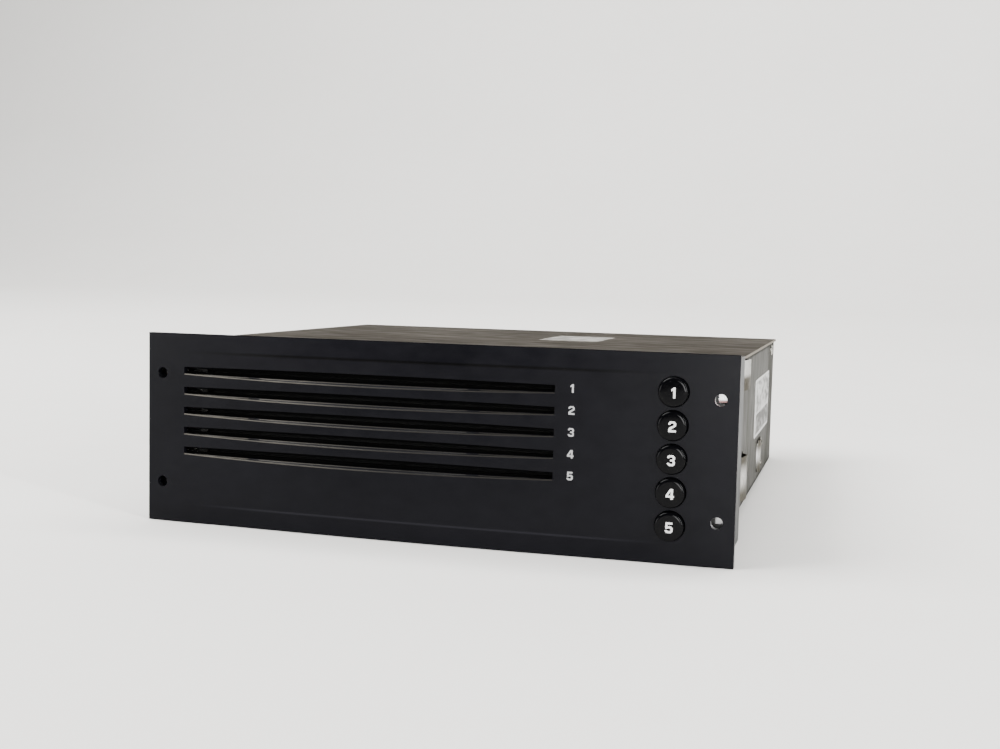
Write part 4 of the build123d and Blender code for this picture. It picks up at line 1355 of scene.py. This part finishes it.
@dataclass
class SpringCatches:
    """Bent leaves on both walls that grip the dashboard sleeve. The two front ones of each side have a
    tongue that runs forward and turns in behind the tool hole, where a release key pushes it."""

    thick: float = 0.5
    leaves: tuple[Leaf, ...] = (
        Leaf((12.5, 26.5), 33.0, 21.5, ((0.0, 0.25), (14.0, 2.2), (18.5, 0.25), (21.5, 0.25)), 1.6),
        Leaf((47.5, 56.9), 33.0, 21.5, ((0.0, 0.25), (14.0, 2.2), (18.5, 0.25), (21.5, 0.25)), 2.5),
        Leaf((11.5, 23.3), 110.0, 14.0, ((0.0, 0.25), (4.0, 0.9), (9.0, 0.25), (14.0, 0.25)), 1.6),
    )
    rivet: tuple[Span, ...] = ((1.1, 0.0), (1.0, 0.2), (0.7, 0.36), (0.35, 0.44))
    rivet_stand: float = 0.4
    rivet_inset: Span = (1.7, 2.2)
    tongue_start: float = 5.6
    tongue_length: float = 30.0
    tongue_stops: tuple[Span, ...] = ((0.0, 0.5), (1.0, 0.5), (27.4, 0.47), (30.0, 0.58))
    tongue_thick: float = 0.44
    tongue_half: float = 1.2
    tongue_z: Span = (12.8, 47.9)
    foot_reach: Span = (2.6, 0.6)
    foot_turns: Span = (0.3, 0.0)

    def strip(self, leaf: Leaf, thick: float) -> Piece:
        """A bent strip on the right wall with rounded corners at its front end.

        Args:
            leaf: Its sizes.
            thick: Its thickness.

        Returns:
            The strip.
        """
        y = UNIT.face_y + leaf.front
        strip = box("strip", (-thick / 2, thick / 2), (y, y + leaf.length), leaf.height)
        round_corners(strip, Along.X, leaf.corner, 5, lambda a, b: a.y < y + 0.1)
        bends = zip(leaf.stops, leaf.stops[1:])
        marks = sorted({round(s + (e - s) * k / 5, 3) for (s, _), (e, _) in bends for k in range(5)})
        slice_at(strip, Along.Y, [y + mark for mark in marks if 0 < mark < leaf.length])
        for vertex in strip.data.vertices:
            along = vertex.co.y / MM - y
            vertex.co.x += (UNIT.wall_x + through_stops(leaf.stops, along)) * MM
        return strip

    def leaf(self, leaf: Leaf) -> Piece:
        """One leaf on the right wall, with two rivets at its fixed end.

        Args:
            leaf: Its sizes.

        Returns:
            The leaf.
        """
        piece = self.strip(leaf, self.thick)
        back, edge = self.rivet_inset
        y, base = UNIT.face_y + leaf.front + leaf.length - back, UNIT.wall_x + leaf.stops[-1][1]
        rivets = [
            turned("rivet", Along.X, (base, base + self.rivet_stand), (y, z), self.rivet, 24)
            for z in (leaf.height[0] + edge, leaf.height[1] - edge)
        ]
        combine(piece, rivets, Cut.JOIN)
        return piece

    def tongue(self, z: float, turn: float) -> Piece:
        """A tongue at a tool hole's height, a little thinner than the leaf that it grows out of.

        Args:
            z: Its height.
            turn: How far the inner end of its foot lies behind the outer one.

        Returns:
            The tongue with its foot.
        """
        height = (z - self.tongue_half, z + self.tongue_half)
        leaf = Leaf(height, self.tongue_start, self.tongue_length, self.tongue_stops, 0.3)
        tongue = self.strip(leaf, self.tongue_thick)
        start = UNIT.face_y + self.tongue_start
        x = (UNIT.wall_x - self.foot_reach[0], UNIT.wall_x + self.foot_reach[1])
        foot = box("foot", x, (start, start + self.tongue_thick), height)
        for vertex in foot.data.vertices:
            vertex.co.y += (x[1] - vertex.co.x / MM) / (x[1] - x[0]) * turn * MM
        combine(tongue, [foot], Cut.JOIN)
        return tongue

    def build(self) -> list[Piece]:
        """Build the right-hand set and its mirror image on the left.

        Returns:
            Both sets.
        """
        parts = [self.leaf(leaf) for leaf in self.leaves]
        parts += [self.tongue(z, turn) for z, turn in zip(self.tongue_z, self.foot_turns)]
        right = joined(parts, "spring_leaves_right")
        round_edges(right, 0.07, segments=2, angle=40)
        left = settle(copied(right, mirror_x=True), "spring_leaves_left")
        return [
            place(right, "case", "spring_steel", ["catches_right"]),
            place(left, "case", "spring_steel", ["catches_left"]),
        ]


@dataclass(frozen=True)
class ScrewKind:
    """Screws that are alike: their head's and shank's radius and length, the axis that tips them over
    and which way, and the right-hand ones' seats, each with the turn of its cross."""

    head: float
    height: float
    shank: float
    length: float
    about: Along
    way: int
    seats: tuple[tuple[float, Point], ...]


REAR_SEATS = ((0.3, (85.4, UNIT.back_y, 18.0)), (1.1, (85.4, UNIT.back_y, 48.0)))
FOLD_SEATS = (
    (0.5, (UNIT.wall_x, UNIT.face_y + 58.0, 54.1)),
    (0.9, (UNIT.wall_x, UNIT.back_y - 15.0, 54.1)),
)
TRAY_SEATS = ((0.2, (86.5, UNIT.face_y + 14.2, 22.0)), (0.7, (86.5, UNIT.face_y + 14.2, 38.0)))


@dataclass
class CaseScrews:
    """Low cross-recessed screws: four in the rear panel, four in the cover's folds, four in the tray."""

    kinds: tuple[ScrewKind, ...] = (
        ScrewKind(2.3, 1.2, 1.25, 0.8, Along.X, -1, REAR_SEATS),
        ScrewKind(2.0, 0.8, 1.0, 1.6, Along.Y, 1, FOLD_SEATS),
        ScrewKind(2.2, 1.4, 1.25, 2.6, Along.X, 1, TRAY_SEATS),
    )
    brim: float = 0.35
    crown: tuple[Span, ...] = ((1.0, 0.0), (0.94, 0.35), (0.8, 0.7), (0.5, 0.95), (0.3, 1.0))
    cross: Span = (0.62, 0.16)
    cross_floor: float = 0.3

    def screw(self, kind: ScrewKind) -> Piece:
        """A screw at the origin, with its head's seat at Z = 0 and its head up.

        Args:
            kind: Its sizes.

        Returns:
            The screw.
        """
        head, height = kind.head, kind.height
        crown = [(share * head, rise * (1 - self.brim) * height) for share, rise in self.crown]
        body = turned("screw", Along.Z, (0, self.brim * height), (0, 0), crown, 40)
        long, wide = ((-share * head, share * head) for share in self.cross)
        for x, y in ((long, wide), (wide, long)):
            combine(body, [box("arm", x, y, (self.cross_floor * height, 2 * height))], Cut.AWAY)
        shank = rod("shank", kind.shank, Along.Z, (-kind.length, 0.2 * height), (0, 0), 24)
        combine(body, [shank], Cut.JOIN)
        round_edges(body, 0.05, segments=1, angle=50)
        return body

    def build(self) -> Piece:
        """Build all twelve as one piece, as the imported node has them.

        Returns:
            The screws.
        """
        screws = []
        for kind in self.kinds:
            pattern = self.screw(kind)
            for sign in (-1, 1):
                lean = sign if kind.about is Along.Y else kind.way
                turn = Matrix.Rotation(lean * math.pi / 2, 4, kind.about.name)
                for spin, (x, y, z) in kind.seats:
                    copy = copied(pattern)
                    seat = Matrix.Translation(Vector((sign * x, y, z)) * MM)
                    copy.data.transform(seat @ turn @ Matrix.Rotation(spin * sign, 4, "Z"))
                    screws.append(copy)
            bpy.data.objects.remove(pattern)
        return place(joined(screws, "case_screw_set"), "case", "screw_steel", ["case_screws"])


@dataclass
class RearStud:
    """The threaded stud at the back with its hexagon nut.

    The crest is a thread's flat top, given by its width and its sag, and the tip is the stud's chamfer,
    given by its length and its depth.
    """

    radius: float = 2.5
    root: float = 2.1
    pitch: float = 0.8
    length: float = 9.0
    nut: float = 3.5
    nut_corner: float = 4.6
    nut_round: float = 0.35
    height: float = 33.2
    flank: float = 0.3
    crest: Span = (0.12, 0.02)
    tip: Span = (0.15, 0.35)
    root_in_panel: float = 0.8
    hidden_thread: float = 0.5
    bite: float = 0.05
    over: float = 2.0

    def build(self) -> Piece:
        """Turn the stud ring by ring, add the nut, and dress the piece.

        Returns:
            The stud with its nut.
        """
        back, across = UNIT.back_y, (0, self.height)
        start = back + self.nut - self.hidden_thread
        flat, sag = self.crest
        profile, reach = [(self.root, 0.0)], self.flank
        while reach + self.pitch < self.length - self.nut + 0.1:
            top = reach + self.flank
            profile += [(self.radius, top), (self.radius - sag, top + flat)]
            reach += self.pitch
            profile.append((self.root, reach))
        end = back + self.length - start
        profile += [(self.root, end - self.tip[0]), (self.root - self.tip[1], end)]
        plain = (back - self.root_in_panel, start)
        stud = turned("rear_stud_thread", Along.Y, plain, across, profile, 40)
        nut = rod("nut", self.nut_corner, Along.Y, (back, back + self.nut), across, 6)
        with editing(nut):
            pick(nut, Kind.FACE, lambda middle, normal: normal.y > 0.9)
            bpy.ops.mesh.bevel(offset=self.nut_round * MM, segments=2, affect="EDGES")
        through = (back - self.over, back + self.nut + self.over)
        bore = rod("bore", self.root - self.bite, Along.Y, through, across, 40)
        combine(nut, [bore], Cut.AWAY)
        combine(stud, [nut], Cut.JOIN)
        shade(stud, 40)
        return place(stud, "case", "screw_steel", ["rear_stud"])


@dataclass
class Labels:
    """Two blank stickers: one on the right wall and one on the cover."""

    corner: float = 1.2

    def sticker(self, name: str, node: str, normal: Along, split: float, **print_facts: object) -> Piece:
        """A thin sticker with rounded corners in the place of a packed one.

        Args:
            name: Name of the piece.
            node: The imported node.
            normal: The axis that it faces along.
            split: How far its two fields' border lies above its lower edge.
            **print_facts: The print's colours and margin.

        Returns:
            The sticker.
        """
        low, high = (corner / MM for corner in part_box(node))
        along, up = (Along(k) for k in normal.others)
        finish = PrintedLabel(f"polyester_label_{name}", along, up, low, high, split, **print_facts)
        sticker = box(f"{name}_sticker", *zip(low, high))
        round_corners(sticker, normal, self.corner, 4)
        shade(sticker, 30)
        return place(sticker, "case", "label", [node], finish)

    def build(self) -> list[Piece]:
        """Build both stickers.

        Returns:
            The stickers.
        """
        side = dict(paper="#b9b9b7", worn="#989793", field="#4e4e4b", margin=6.0)
        top = dict(paper="#6d6962", worn="#59554e", field="#514d47")
        return [
            self.sticker("side", "side_label", Along.X, 8.6, **side),
            self.sticker("top", "top_label", Along.Z, 6.0, **top),
        ]


@dataclass
class SheetMetal:
    """The case's folded sheets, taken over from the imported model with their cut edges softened."""

    sheets: tuple[str, ...] = ("front_frame", "chassis", "top_cover", "rear_panel")
    edge_round: float = 0.14
    shade_and_dust_from: float = 59.6
    weld: float = 0.002
    flat_angle: float = 1.0

    def tray_top_shade_and_dust(self, tray: Piece) -> None:
        """Give the tray's top the cover's darker, brownish finish, as painted shade with some dust.

        Args:
            tray: The tray behind the faceplate.
        """
        # Painted shade: the tray's upward faces take the cover's darker finish
        tray.data.materials.append(FINISHES["cover_steel"].material())
        for face in tray.data.polygons:
            if face.normal.z > 0.5 and face.center.z > self.shade_and_dust_from * MM:
                face.material_index = 1

    def build(self, nodes: dict[str, Piece], slots: dict[str, str]) -> list[Piece]:
        """Copy, merge, soften and dress the sheets.

        Args:
            nodes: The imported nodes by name.
            slots: The material slot of each node.

        Returns:
            The softened sheets.
        """
        made = []
        for name in self.sheets:
            sheet = settle(copied(nodes[name]), name + "_sheet")
            with editing(sheet):
                bpy.ops.mesh.select_all(action="SELECT")
                bpy.ops.mesh.remove_doubles(threshold=self.weld * MM)
                bpy.ops.mesh.dissolve_limited(angle_limit=math.radians(self.flat_angle))
            round_edges(sheet, self.edge_round, segments=2, angle=40)
            made.append(place(sheet, "case", slots[name], [name]))
        self.tray_top_shade_and_dust(made[0])
        return made


def dress_packed_parts(nodes: dict[str, Piece], slots: dict[str, str]) -> int:
    """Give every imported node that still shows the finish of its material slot.

    Args:
        nodes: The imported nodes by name.
        slots: The material slot of each node.

    Returns:
        How many nodes were dressed.
    """
    shown = {name: node for name, node in nodes.items() if not node.hide_render}
    for name, node in shown.items():
        node.data.materials.clear()
        node.data.materials.append(FINISHES[slots[name]].material())
    return len(shown)


# Studio


@dataclass(frozen=True)
class Softbox:
    """An area light: its name, its place, its width and height in metres, and its power in watts."""

    name: str
    at: Point
    size: Span
    power: float
    aim: Point = (0.0, 0.0, 0.03)

    def hang(self) -> None:
        """Put the light in the scene, aimed at its point."""
        data = bpy.data.lights.new(self.name, "AREA")
        data.shape = "RECTANGLE"
        data.size, data.size_y = self.size
        data.energy = self.power
        light = bpy.data.objects.new(self.name, data)
        light.location = self.at
        light.rotation_euler = (Vector(self.aim) - Vector(self.at)).to_track_quat("-Z", "Y").to_euler()
        bpy.context.scene.collection.objects.link(light)


@dataclass
class Studio:
    """The camera, the floor, and the lights: a large box overhead to the left, weaker ones at the left and
    the right, two before the unit for the caps' and the lips' highlights, one for the paper behind, and a
    dim surround. The faceplate mirrors the gap between the front ones, so its middle stays dark."""

    lens: float = 45.38
    camera_at: Point = (128.24, -447.28, 81.62)
    yaw: float = -16.321
    pitch: float = -4.511
    roll: float = 1.345
    sweep_half: float = 2.5
    sweep_turn: float = 1.1
    sweep_bend: float = 0.8
    sweep_cuts: int = 8
    sweep_rise: float = 2.5
    sweep_gap: float = 0.02
    surround: float = 0.36
    surround_colour: str = "#dfe2e6"
    boxes: tuple[Softbox, ...] = (
        Softbox("box_overhead", (-0.8, -0.3, 1.15), (0.8, 0.8), 34.0),
        Softbox("box_left", (-1.05, -1.0, 0.2), (0.6, 0.4), 8.0),
        Softbox("box_right", (1.05, -0.45, 0.4), (0.3, 0.7), 5.0),
        Softbox("strip_right", (0.75, -0.5, 0.32), (0.035, 0.6), 8.0),
        Softbox("box_camera", (0.26, -1.5, 0.16), (0.4, 0.4), 12.0),
        Softbox("strip_camera", (0.5, -1.5, 0.4), (0.14, 0.8), 8.0),
        Softbox("box_paper", (0.2, 0.45, 1.8), (2.4, 0.5), 60.0, (0.0, 1.6, 0.2)),
    )

    def camera(self) -> None:
        """Set the camera where the photograph was taken from, as fitted to the faceplate's corners."""
        data = bpy.data.cameras.new("camera")
        data.lens = self.lens
        data.sensor_width = 36.0
        data.clip_start = 0.01
        yaw, pitch, roll = (math.radians(a) for a in (self.yaw, self.pitch, self.roll))
        forward = Vector((math.sin(yaw) * math.cos(pitch), math.cos(yaw) * math.cos(pitch), math.sin(pitch)))
        level_right = Vector((math.cos(yaw), -math.sin(yaw), 0))
        level_up = level_right.cross(forward)
        right = math.cos(roll) * level_right + math.sin(roll) * level_up
        up = -math.sin(roll) * level_right + math.cos(roll) * level_up
        camera = bpy.data.objects.new("camera", data)
        bpy.context.scene.collection.objects.link(camera)
        turn = Matrix((right, up, -forward)).transposed().to_4x4()
        camera.matrix_world = Matrix.Translation(Vector(self.camera_at) * MM) @ turn
        bpy.context.scene.camera = camera

    def floor(self) -> None:
        """A pale paper sweep. The faceplate reaches below the case, so the real unit leans back onto
        the case's rear edge, and here the paper is tilted to meet both edges."""
        tilt = math.atan2(UNIT.case_low, UNIT.case_depth - UNIT.skin)
        half, turn_y = self.sweep_half, self.sweep_turn
        deselect()
        bpy.ops.mesh.primitive_grid_add(
            x_subdivisions=4, y_subdivisions=4, size=2 * half, location=(0, turn_y - half, 0)
        )
        sweep = settle(bpy.context.object, "paper_sweep")
        with editing(sweep):
            pick(sweep, Kind.EDGE, lambda a, b: min(a.y, b.y) > (turn_y - 0.001) / MM)
            length = self.sweep_bend * math.pi / 2 / self.sweep_cuts
            for k in range(self.sweep_cuts):
                angle = math.pi / 2 * (k + 0.5) / self.sweep_cuts
                step = (0, length * math.cos(angle), length * math.sin(angle))
                bpy.ops.mesh.extrude_region_move(TRANSFORM_OT_translate={"value": step})
            bpy.ops.mesh.extrude_region_move(TRANSFORM_OT_translate={"value": (0, 0, self.sweep_rise)})
        sweep.data.transform(Matrix.Rotation(tilt, 4, "X"))
        sweep.data.transform(Matrix.Translation((0, (UNIT.face_y + UNIT.skin) * MM, -self.sweep_gap * MM)))
        activate(sweep)
        bpy.ops.object.shade_smooth()
        sweep.data.materials.append(STUDIO_PAPER.material())

    def build(self) -> None:
        """Set up camera, floor, lights and surround."""
        self.camera()
        self.floor()
        for softbox in self.boxes:
            softbox.hang()
        world = bpy.data.worlds.new("studio")
        world.use_nodes = True
        background = world.node_tree.nodes["Background"]
        background.inputs["Color"].default_value = linear(self.surround_colour)
        background.inputs["Strength"].default_value = self.surround
        bpy.context.scene.world = world


def main() -> None:
    """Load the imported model, build every piece in order and report each one."""
    logging.basicConfig(level=logging.INFO, format="%(message)s")
    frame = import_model()
    Studio().build()
    slots = {part["node"]: part["material_slot"] for part in frame["record"]["subparts"]}
    buttons = PushButtons()
    stages: list[tuple[str, Callable[[], Piece | list[Piece]]]] = [
        ("faceplate", FaceShell().build),
        ("buttons", buttons.build),
        ("rubber mat", RubberMat().build),
        ("numerals", lambda: Numerals().build(buttons.crown_depth)),
        ("spring catches", SpringCatches().build),
        ("case screws", CaseScrews().build),
        ("rear stud", RearStud().build),
        ("labels", Labels().build),
        ("case sheets", lambda: SheetMetal().build(frame["nodes"], slots)),
    ]
    for title, build in stages:
        started = time.perf_counter()
        made = build()
        pieces = made if isinstance(made, list) else [made]
        faces = sum(len(piece.data.polygons) for piece in pieces)
        spent = time.perf_counter() - started
        LOG.info("%s: %d piece(s), %d faces, %.1f s", title, len(pieces), faces, spent)
    LOG.info("packed parts dressed: %d", dress_packed_parts(frame["nodes"], slots))


if __name__ == "__main__":
    main()
